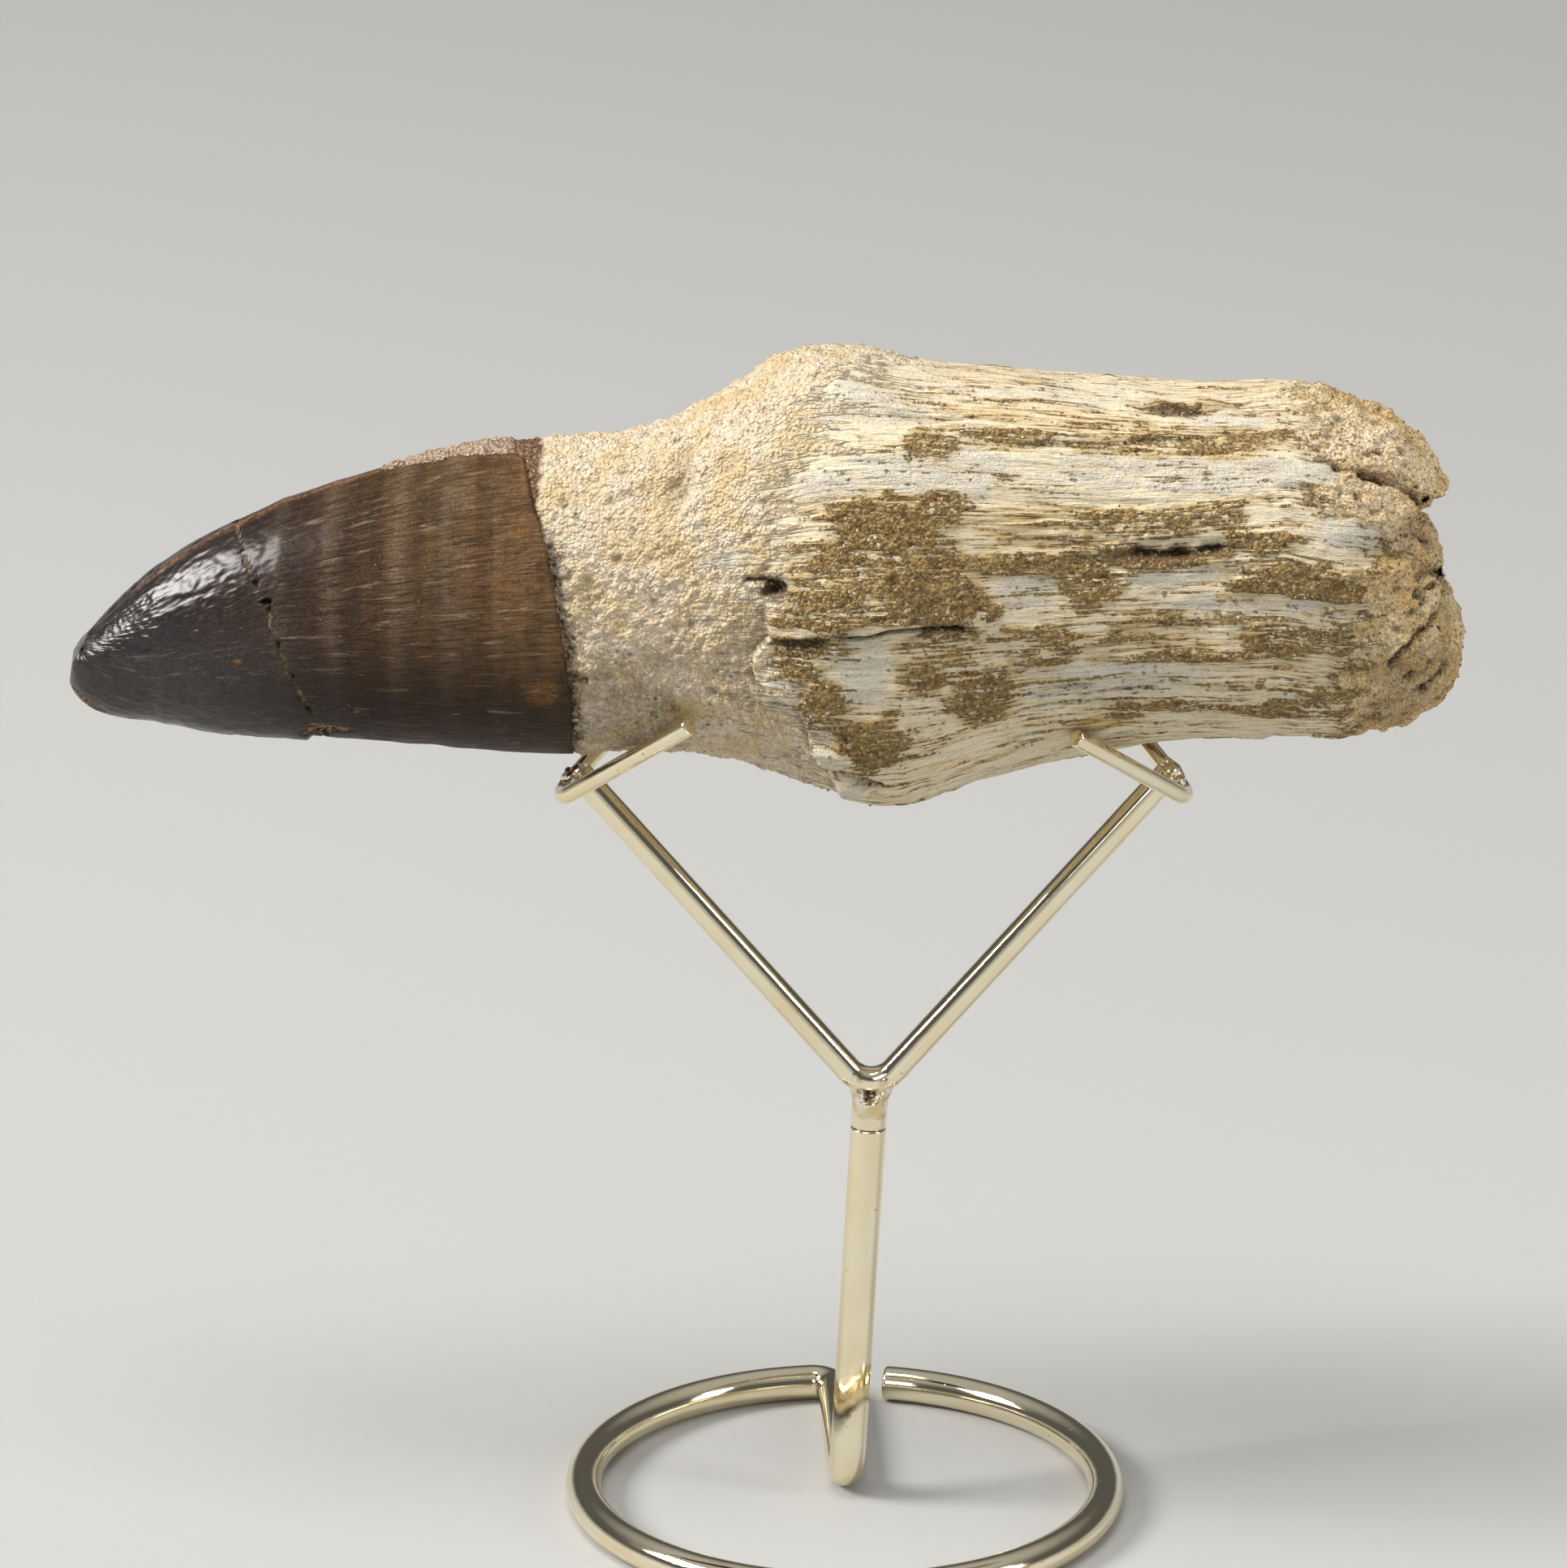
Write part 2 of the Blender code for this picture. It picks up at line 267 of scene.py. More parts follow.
@dataclass(frozen=True)
class EnamelFinish:
    """Dark brown fossil enamel, near black at the tip, wrinkled and scratched."""

    tip: Colour = (0.016, 0.01, 0.01)
    middle: Colour = (0.037, 0.017, 0.008)
    base: Colour = (0.155, 0.083, 0.032)
    # A darker brown for mottling and broken enamel, also laid on as painted shade where the crown
    # faces down.
    umber: Colour = (0.02, 0.012, 0.007)
    scratch: Colour = (0.46, 0.36, 0.24)
    filling: Colour = (0.36, 0.26, 0.155)
    growth: Colour = (0.22, 0.15, 0.09)
    broken: Colour = (0.4, 0.27, 0.165)
    rust: Colour = (0.24, 0.1, 0.018)
    keel: Colour = (0.3, 0.15, 0.075)
    # Painted shade inside the open cracks and the gap.
    black: Colour = (0.006, 0.004, 0.003)
    from_x: float = -55.0
    to_x: float = -15.0

    def material(self) -> Material:
        """Make the enamel's look.

        Returns:
            The material.
        """
        b = Bench("fossil_enamel")
        place = b.place()
        flow = b.attribute("flow", "Vector")
        share = (b.split(flow, 0) - self.from_x) / (self.to_x - self.from_x)
        tipward = 1.0 - share.past(0.16, 0.62)
        wander = b.noise(b.stretched(flow, (0.5, 0.25, 0.25)), 3.0, 3.0) - 0.5
        stops = [(0.0, self.tip), (0.2, self.tip), (0.48, self.middle), (0.98, self.base)]
        colour = b.node("ShaderNodeValToRGB", {"stops": stops}, {0: share + wander * 0.2})
        ring = b.noise(b.stretched(flow, (1.0, 0.05, 0.05)), 1.3, 2.0)
        colour = b.scaled(colour, ring.past(0.32, 0.7) * 0.42 + 0.78)
        strand = b.noise(b.stretched(flow, (0.08, 1.0, 1.0)), 0.17, 4.0)
        colour = b.scaled(colour, strand.past(0.34, 0.66) * 0.7 + 0.62)
        cloud = b.noise(place, 1.5, 4.0, 0.5)
        colour = b.blend(cloud.past(0.5, 0.68) * 0.4, colour, self.umber)
        under = b.attribute("under")
        colour = b.blend(b.attribute("growth") * strand.past(0.3, 0.62) * 0.5, colour, self.growth)
        # Painted shade: darker towards umber where the crown faces down.
        colour = b.blend(under * 0.85, colour, self.umber)
        thread = b.noise(b.stretched(flow, (0.07, 1.0, 1.0)), 1.4, 2.0) - 0.5
        thin = (thread * thread).past(0.00013, 0.00002) * b.noise(flow, 1.9, 2.0).past(0.48, 0.6)
        dash = (thin * 0.75 + b.attribute("scratch") * strand.past(0.4, 0.56) * 0.8).held()
        colour = b.blend(dash * 0.4, colour, self.scratch)
        speck = b.cells(place, 0.62).past(0.12, 0.05) * b.noise(place, 2.6, 2.0).past(0.46, 0.62)
        colour = b.blend(speck * 0.7, colour, self.scratch)
        grit = b.noise(place, 0.35, 4.0)
        colour = b.blend(b.attribute("keel") * grit.past(0.3, 0.62), colour, self.keel)
        colour = b.blend(b.attribute("rust") * grit.past(0.38, 0.6), colour, self.rust)
        broken = b.attribute("broken")
        worn = b.blend(grit.past(0.35, 0.65), self.umber, self.broken)
        colour = b.blend(broken, colour, worn)
        filled = b.attribute("filled")
        colour = b.blend(filled * grit.past(0.3, 0.56), colour, self.filling)
        # Painted shade: near black along the open parts of the cracks and in the gap.
        dark = b.attribute("dark")
        colour = b.blend(dark, colour, self.black)
        wrinkle = b.noise(place, 0.7, 5.0, 1.6) - 0.5
        crease = (wrinkle * wrinkle).past(0.0, 0.008)
        fold = b.noise(b.stretched(flow, (0.4, 1.0, 1.0)), 0.3, 4.0, 0.6)
        height = (crease * 0.6 + wrinkle * 1.6) * (tipward * 1.1 + 0.5) + fold * 0.5 + strand * 0.4
        height = height + grit * (broken + filled) * 1.2 - thin * 0.25
        rough = 0.43 - tipward * 0.16 + b.noise(flow, 1.8, 3.0).past(0.35, 0.75) * 0.1 + dash * 0.2
        rough = rough + (broken + filled + dark + b.attribute("keel")) * 0.4
        return b.done(
            Base_Color=colour,
            Roughness=rough.held(),
            Specular_IOR_Level=0.14,
            Coat_Weight=(0.03 + tipward * 0.87 - broken - filled - dark).held(),
            Coat_Roughness=0.275,
            Normal=b.bumped(height, 0.24),
        )


@dataclass(frozen=True)
class BoneFinish:
    """Ivory bone with lengthwise fibres, ochre stains, a crust of brown sand and a sandy neck."""

    ivory: Colour = (0.76, 0.67, 0.48)
    chalk: Colour = (0.68, 0.63, 0.515)
    fibre: Colour = (0.25, 0.145, 0.05)
    ochre: Colour = (0.6, 0.405, 0.14)
    wash: Colour = (0.46, 0.31, 0.105)
    cream: Colour = (0.71, 0.555, 0.33)
    cream_light: Colour = (0.77, 0.66, 0.505)
    # A darker sand, also laid on as painted shade between the grains.
    cream_dark: Colour = (0.46, 0.315, 0.135)
    crust: Colour = (0.215, 0.125, 0.036)
    crust_light: Colour = (0.46, 0.32, 0.125)
    # Painted shade between the crust's grains.
    crust_dark: Colour = (0.075, 0.043, 0.014)
    end: Colour = (0.84, 0.58, 0.245)
    end_light: Colour = (0.89, 0.73, 0.47)
    # Painted shade between the grains of the broken end.
    end_tan: Colour = (0.68, 0.42, 0.145)
    end_dark: Colour = (0.2, 0.115, 0.042)
    # Grime, and painted shade in the pores, pits, holes, clefts and hollows, under the ledges and
    # low on the front.
    dirt: Colour = (0.045, 0.028, 0.013)
    rust: Colour = (0.125, 0.055, 0.025)
    worn: Colour = (0.57, 0.435, 0.325)
    glint: Colour = (0.8, 0.73, 0.57)

    def material(self) -> Material:
        """Make the bone's look.

        Returns:
            The material.
        """
        b = Bench("fossil_bone")
        place = b.place()
        flow = b.attribute("flow", "Vector")
        grain = b.cells(place, 0.27)
        clod = b.cells(place, 0.66)
        tone = b.split(b.cells(place, 0.27, "Color"), 0)
        grit = b.noise(place, 0.34, 5.0)
        lump = b.noise(place, 0.95, 5.0, 0.4)
        cloud = b.noise(place, 3.4, 3.0)
        patch = b.noise(place, 1.9, 4.0, 0.6)
        strand = b.noise(b.stretched(flow, (0.07, 1.0, 1.0)), 0.23, 5.0, 0.12)
        band = b.noise(b.stretched(flow, (0.14, 1.0, 1.0)), 1.1, 4.0, 0.3)
        hair = b.noise(b.stretched(flow, (0.12, 1.0, 1.0)), 0.1, 3.0)
        fine = b.noise(place, 0.17, 4.0)
        chalk = b.attribute("chalk")
        ochre = b.attribute("ochre")
        sandy = b.attribute("sandy")
        end = b.attribute("end")

        chalky = chalk * 0.9 + (strand - 0.5) * 1.8 + (lump - 0.5) * 1.2
        bone = b.blend(chalky.past(0.22, 0.6), self.ivory, self.chalk)
        stain = (band.past(0.44, 0.62) * 0.75 + ochre * 0.9 - chalk * 0.5).held()
        bone = b.blend(stain * strand.past(0.36, 0.58) * 0.82, bone, self.ochre)
        worked = (cloud * 0.5 + band * 0.6 - chalk * 0.12).past(0.46, 0.62) * 0.65 + 0.35
        lines = strand.past(0.545, 0.61) * (0.85 + ochre * 0.3 - chalk * 0.15) * worked
        bone = b.blend((lines * grit.past(0.34, 0.54)).held(), bone, self.fibre)
        bone = b.blend(hair.past(0.56, 0.66) * (0.6 - chalk * 0.25) * worked, bone, self.fibre)
        crumbs = chalk * fine.past(0.54, 0.64) * 0.35 + grit.past(0.6, 0.68) * 0.25
        bone = b.blend(crumbs.held(), bone, self.wash)
        rim = (sandy * 2.2).held() * (0.25 + patch.past(0.38, 0.6) * 0.55)
        bone = b.blend(rim, bone, self.wash)

        # Painted shade: low marks the gaps between grains, darkened in the cream, the crust and the
        # broken end.
        low = (grain * 0.55 + (1.0 - grit) * 0.75).past(0.52, 0.86)
        cream = b.blend(cloud.past(0.38, 0.6), self.cream, self.cream_light)
        cream = b.blend(patch.past(0.5, 0.66) * 0.4, cream, self.cream_light)
        cream = b.blend(lump.past(0.52, 0.7) * 0.4, cream, self.cream_dark)
        cream = b.blend(low * 0.42, cream, self.cream_dark)
        cream = b.blend(tone.past(0.84, 0.9) * 0.4, cream, self.glint)
        feather = (band - 0.5) * 2.4 + (strand - 0.5) * 2.2 + (lump - 0.5) * 1.2
        creamy = (b.attribute("sheet") * 0.55 + 0.5 + feather).past(0.34, 0.66)
        colour = b.blend(creamy, bone, cream)

        mixed = tone * 0.45 + grit * 0.9 + lump * 0.5
        crust = b.blend(mixed.past(0.66, 1.25) * 0.85, self.crust, self.crust_light)
        crust = b.blend(patch.past(0.46, 0.64) * 0.55, crust, self.crust_light)
        crust = b.blend(low * 0.55, crust, self.crust_dark)
        stony = b.blend(mixed.past(0.68, 1.12), self.end, self.end_light)
        stony = b.blend(cloud.past(0.42, 0.6) * 0.6, stony, self.end_tan)
        stony = b.blend(low * 0.38, stony, self.end_dark)
        pale = b.attribute("pale") * grit.past(0.36, 0.56) * 0.75
        stony = b.blend(pale, stony, self.cream_light)
        crust = b.blend((end + (lump - 0.5) * 1.5).past(0.2, 0.7), crust, stony)
        crust = b.blend(tone.past(0.965, 0.975) * 0.5, crust, self.glint)
        jag = (strand - 0.5) * 3.0 + (grit - 0.5) * 1.6 + (lump - 0.5) * 1.8 + (band - 0.5) * 1.6
        ragged = (sandy * 1.08 - 0.12 + end * 0.35 + jag).past(0.36, 0.6)
        ragged = ragged * (1.0 - creamy * (1.0 - sandy).past(0.3, 0.8))
        colour = b.blend(ragged, colour, crust)

        # Painted reflection: warm light from the gold prongs on the bone where they touch it.
        colour = b.blend(b.attribute("glow") * (0.35 + grit * 0.5), colour, self.ochre)
        worn = b.blend(fine.past(0.45, 0.58) * 0.8, self.worn, self.rust)
        colour = b.blend(b.attribute("worn"), colour, worn)
        rust = b.blend(fine.past(0.58, 0.66) * 0.7, self.rust, self.cream)
        colour = b.blend(b.attribute("rust") * (0.8 + grit.past(0.3, 0.56) * 0.2), colour, rust)
        # Painted shade with some grime: darker in pores, pits, holes, clefts and hollows, under
        # ledges and low on the front.
        pore = b.cells(place, 0.95).past(0.2, 0.08) * cloud.past(0.48, 0.62)
        grime_and_shade = b.attribute("dirt")
        dirt = grime_and_shade * 0.95 + (grit - 0.5) * grime_and_shade.past(0.15, 0.6) * 2.4 + pore * 0.45
        colour = b.blend(dirt.held() * 0.94, colour, self.dirt)

        grainy = (ragged + creamy * 0.85 + b.attribute("worn")).held()
        sand = (1.0 - grain) * 0.7 + (1.0 - clod) * 0.7 + grit * 0.55 + lump * 0.3
        smooth = strand * -0.38 - hair * 0.3 + grit * 0.3 - lines * 0.15 + patch * 0.3
        smooth = smooth + (lump * 0.4 + fine * 0.3) * chalk
        height = sand * grainy + smooth * (1.0 - grainy) - pore * 0.7
        sparkle = tone.past(0.955, 0.97) * grainy
        return b.done(
            Base_Color=colour,
            Roughness=(0.84 - sparkle * 0.5 - chalk * 0.1).held(),
            Specular_IOR_Level=0.35,
            Normal=b.bumped(height, 0.5),
        )


@dataclass(frozen=True)
class SandFinish:
    """Loose grains of quartz and matrix that cling to the fossil."""

    dark: Colour = (0.085, 0.052, 0.024)
    tan: Colour = (0.32, 0.215, 0.1)
    pale: Colour = (0.56, 0.42, 0.23)
    cream: Colour = (0.7, 0.55, 0.33)

    def material(self) -> Material:
        """Make the grains' look, toned by each grain's own value.

        Returns:
            The material.
        """
        b = Bench("sand_grains")
        tone = b.attribute("grain_tone")
        stops = [(0.0, self.dark), (0.62, self.tan), (1.0, self.pale)]
        brown = b.node("ShaderNodeValToRGB", {"stops": stops}, {0: tone})
        stops = [(0.0, self.tan), (0.35, self.cream), (1.0, self.pale)]
        light = b.node("ShaderNodeValToRGB", {"stops": stops}, {0: tone})
        colour = b.blend(b.attribute("cream"), brown, light)
        return b.done(
            Base_Color=colour,
            Roughness=0.75 - tone.past(0.75, 0.95) * 0.45,
            Specular_IOR_Level=0.5,
        )


@dataclass(frozen=True)
class PlateFinish:
    """Pale gold plate on polished steel wire, with a few drawn marks and pin-pricks."""

    gold: Colour = (0.91, 0.83, 0.62)
    warm: Colour = (0.86, 0.71, 0.41)
    tarnish: Colour = (0.16, 0.11, 0.05)
    roughness: float = 0.07

    def material(self) -> Material:
        """Make the plate's look.

        Returns:
            The material.
        """
        b = Bench("pale_gold_plate")
        place = b.place()
        cloud = b.noise(place, 5.0, 3.0)
        fine = b.noise(place, 0.5, 4.0)
        colour = b.blend(cloud.past(0.4, 0.72) * 0.55, self.gold, self.warm)
        prick = b.cells(place, 1.3).past(0.075, 0.045) * b.noise(place, 4.0, 2.0).past(0.5, 0.6)
        colour = b.blend(prick * 0.8, colour, self.tarnish)
        rough = self.roughness + cloud.past(0.35, 0.8) * 0.06 + prick * 0.4
        height = b.noise(place, 2.2, 2.0) * 0.9 + fine * 0.1 - prick * 1.0
        return b.done(
            Base_Color=colour,
            Metallic=1.0,
            Roughness=rough + fine.past(0.62, 0.74) * 0.08,
            Normal=b.bumped(height, 0.022),
        )


@dataclass(frozen=True)
class BrazeFinish:
    """Silvery braze under thin plate, lumpy and a little burnt, with painted shade in its pit."""

    silver: Colour = (0.8, 0.77, 0.7)
    gold: Colour = (0.74, 0.6, 0.32)
    # Burnt braze, darkened further as painted shade inside the pit.
    burnt: Colour = (0.05, 0.04, 0.03)

    def material(self) -> Material:
        """Make the braze's look.

        Returns:
            The material.
        """
        b = Bench("braze_metal")
        place = b.place()
        cloud = b.noise(place, 0.9, 3.0)
        grit = b.noise(place, 0.22, 4.0)
        colour = b.blend(cloud.past(0.42, 0.62), self.silver, self.gold)
        # Near black in the pit: burnt braze and painted shade.
        burnt = (b.attribute("burnt") * grit.past(0.34, 0.58)).held()
        colour = b.blend(burnt, colour, self.burnt)
        height = cloud * 0.8 + grit * (0.25 + b.attribute("burnt") * 2.6)
        return b.done(
            Base_Color=colour,
            Metallic=1.0,
            Roughness=(0.12 + b.attribute("burnt") * 0.38 + grit.past(0.55, 0.75) * 0.12).held(),
            Normal=b.bumped(height, 0.1),
        )


@dataclass(frozen=True)
class FloorFinish:
    """Pale matt paper that fades into the sky far from the object."""

    paper: Colour = (0.45, 0.45, 0.44)
    fade_from_mm: float = 480.0
    fade_to_mm: float = 1000.0

    def material(self) -> Material:
        """Make the floor's look.

        Returns:
            The material.
        """
        b = Bench("pale_paper")
        place = b.place()
        fibre = b.noise(place, 1.2, 4.0)
        away = b.node("ShaderNodeVectorMath", {"operation": "LENGTH"}, {0: place}, "Value")
        return b.done(
            Base_Color=b.scaled(self.paper, fibre * 0.03 + 0.985),
            Roughness=0.92,
            Specular_IOR_Level=0.2,
            Alpha=1.0 - away.past(self.fade_from_mm, self.fade_to_mm),
            Normal=b.bumped(fibre, 0.02),
        )


# ---- Shape helpers ----


def eased(value: Numbers, low: float, high: float) -> Numbers:
    """Return 0 at low and 1 at high, with a smooth rise between them."""
    share = np.clip((value - low) / (high - low), 0.0, 1.0)
    return share * share * (3.0 - 2.0 * share)


def turned(degrees: Numbers) -> Numbers:
    """Return angles brought between -180 and 180 degrees."""
    return (degrees + 180.0) % 360.0 - 180.0


def around(table: Table, bearings: Numbers) -> Numbers:
    """Return a table of (bearing, value) read all the way round the tooth."""
    rows = sorted(table)
    return np.interp(bearings, [r[0] for r in rows], [r[1] for r in rows], period=360.0)


class Weather:
    """Seeded noise over places in millimetres."""

    SALTS = (73856093, 19349663, 83492791)
    SALT_STEP = 7919
    MASK = 16383
    SHIFT = 17.3

    def __init__(self, seed: int) -> None:
        """Draw the values that the noise is made of."""
        self.values = np.random.default_rng(seed).random(self.MASK + 1)

    def _value(self, cell: Numbers, salt: int = 0) -> Numbers:
        """Return the value kept for each lattice cell."""
        key = cell[:, 0] * self.SALTS[0] ^ cell[:, 1] * self.SALTS[1] ^ cell[:, 2] * self.SALTS[2]
        return self.values[(key + salt * self.SALT_STEP) & self.MASK]

    def soft(self, place: Numbers, size: float | Triple) -> Numbers:
        """Make smooth noise.

        Args:
            place: Points in millimetres.
            size: Its patches' size, for all axes or for each.

        Returns:
            A value of -1 to 1 at each point.
        """
        scaled = place / np.asarray(size, float)
        cell = np.floor(scaled).astype(np.int64)
        part = scaled - cell
        part = part**3 * (part * (part * 6.0 - 15.0) + 10.0)
        total = np.zeros(len(place))
        for corner in np.ndindex(2, 2, 2):
            weight = np.prod(np.where(corner, part, 1.0 - part), axis=1)
            total += weight * self._value(cell + np.array(corner))
        return total * 2.0 - 1.0

    def rough(self, place: Numbers, size: object, octaves: int, keep: float = 0.5) -> Numbers:
        """Add up noise of several sizes.

        Args:
            place: Points in millimetres.
            size: The largest patches' size.
            octaves: How many sizes, each half the last.
            keep: How strong each is beside the last.

        Returns:
            A value of about -1 to 1 at each point.
        """
        total = np.zeros(len(place))
        reach, strength, whole = np.asarray(size, float), 1.0, 0.0
        for octave in range(octaves):
            total += strength * self.soft(place + self.SHIFT * octave, reach)
            whole += strength
            reach, strength = reach / 2.0, strength * keep
        return total / whole

    def grains(self, place: Numbers, size: float) -> tuple[Numbers, Numbers]:
        """Make a pattern of grains.

        Args:
            place: Points in millimetres.
            size: The grains' size.

        Returns:
            The distance to the nearest grain's middle, in sizes, and that grain's value.
        """
        scaled = place / size
        cell = np.floor(scaled).astype(np.int64)
        best = np.full(len(place), 9.0)
        tone = np.zeros(len(place))
        for step in np.ndindex(3, 3, 3):
            near = cell + np.array(step) - 1
            jitter = np.stack([self._value(near, salt) for salt in (1, 2, 3)], axis=1)
            away = np.sqrt(((near + jitter - scaled) ** 2).sum(axis=1))
            closer = away < best
            best = np.where(closer, away, best)
            tone = np.where(closer, self._value(near, 4), tone)
        return best, tone


@dataclass
class Places:
    """Points of the tooth's skin, and how features are placed on them."""

    points: Numbers
    bearings: Numbers
    girth: Numbers
    outward: Numbers
    flow_radius: float = 14.0

    @property
    def along(self) -> Numbers:
        """Return each point's distance along the tooth."""
        return self.points[:, 0]

    @property
    def flow(self) -> Numbers:
        """Return coordinates whose first axis runs with the bone's fibres."""
        angle, radius = np.radians(self.bearings), self.flow_radius
        return np.stack([self.along, radius * np.cos(angle), radius * np.sin(angle)], axis=1)

    def beside(self, x: float, bearing: float) -> tuple[Numbers, Numbers]:
        """Return how far each point is from a place, along the tooth and round it."""
        return self.along - x, np.radians(turned(self.bearings - bearing)) * self.girth

    def from_line(self, route: Route, sway: Numbers | float = 0.0) -> tuple[Numbers, Numbers]:
        """Measure how far points are from a line drawn on the skin.

        Args:
            route: The line's (x, bearing) points.
            sway: How far the line is pushed aside at each point.

        Returns:
            The distance in millimetres, and the share of the line's length that is behind.
        """
        best = np.full(len(self.along), 1e9)
        share = np.zeros(len(self.along))
        legs = len(route) - 1
        for index in range(legs):
            (x0, b0), (x1, b1) = route[index], route[index + 1]
            dx, dg = self.beside(x0, b0)
            dx, dg = dx + sway, dg + sway
            run = x1 - x0
            rise = math.radians(b1 - b0) * self.girth
            part = np.clip((dx * run + dg * rise) / (run**2 + rise**2 + 1e-9), 0.0, 1.0)
            away = np.hypot(dx - part * run, dg - part * rise)
            closer = away < best
            best = np.where(closer, away, best)
            share = np.where(closer, (index + part) / legs, share)
        return best, share


@dataclass(frozen=True)
class Groove:
    """A cleft in the skin, with how much grime and painted shade lies in it and how far it sways.
    """

    route: Route
    width: float
    depth: float
    dirt: float
    sway: float

    def cut(self, places: Places, sway: Numbers) -> tuple[Numbers, Numbers]:
        """Cut the line.

        Args:
            places: Points of the skin.
            sway: Noise that pushes the line aside.

        Returns:
            The height that it adds, and how much grime and painted shade it leaves on the skin.
        """
        away, share = places.from_line(self.route, sway * self.sway)
        ends = eased(share, -0.02, 0.12) * eased(share, 1.02, 0.88)
        profile = np.exp(-((away / self.width) ** 2)) * ends
        return -self.depth * profile, self.dirt * profile


@dataclass(frozen=True)
class Blot:
    """A patch on the skin: its place, half length, half width in millimetres, and strength."""

    x: float
    bearing: float
    half_length: float
    half_width: float
    strength: float = 1.0

    def on(self, places: Places, ragged: Numbers) -> Numbers:
        """Lay the patch on the skin.

        Args:
            places: Points of the skin.
            ragged: Noise that makes its edge uneven.

        Returns:
            The patch's strength at each point.
        """
        dx, dg = places.beside(self.x, self.bearing)
        away = np.hypot(dx / self.half_length, dg / self.half_width)
        return self.strength * eased(away + ragged, 1.35, 0.65)


def patches(rows: Patches, places: Places, ragged: Numbers) -> Numbers:
    """Return the strongest of several patches, given as a Blot's numbers, at each point."""
    return np.max([Blot(*row).on(places, ragged) for row in rows], axis=0)


def finished(piece: Object, node: str) -> Object:
    """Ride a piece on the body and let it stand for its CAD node.

    Args:
        piece: The piece.
        node: The node.

    Returns:
        The piece.
    """
    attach(piece, "root")
    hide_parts(node)
    LOG.info("%s: %d faces for %s", piece.name, len(piece.data.polygons), node)
    return piece


def link(name: str, data: ID) -> Object:
    """Put a new object in the scene.

    Args:
        name: Its name.
        data: Its mesh, light or camera.

    Returns:
        The object.
    """
    made = bpy.data.objects.new(name, data)
    bpy.context.scene.collection.objects.link(made)
    return made


# ---- The tooth ----


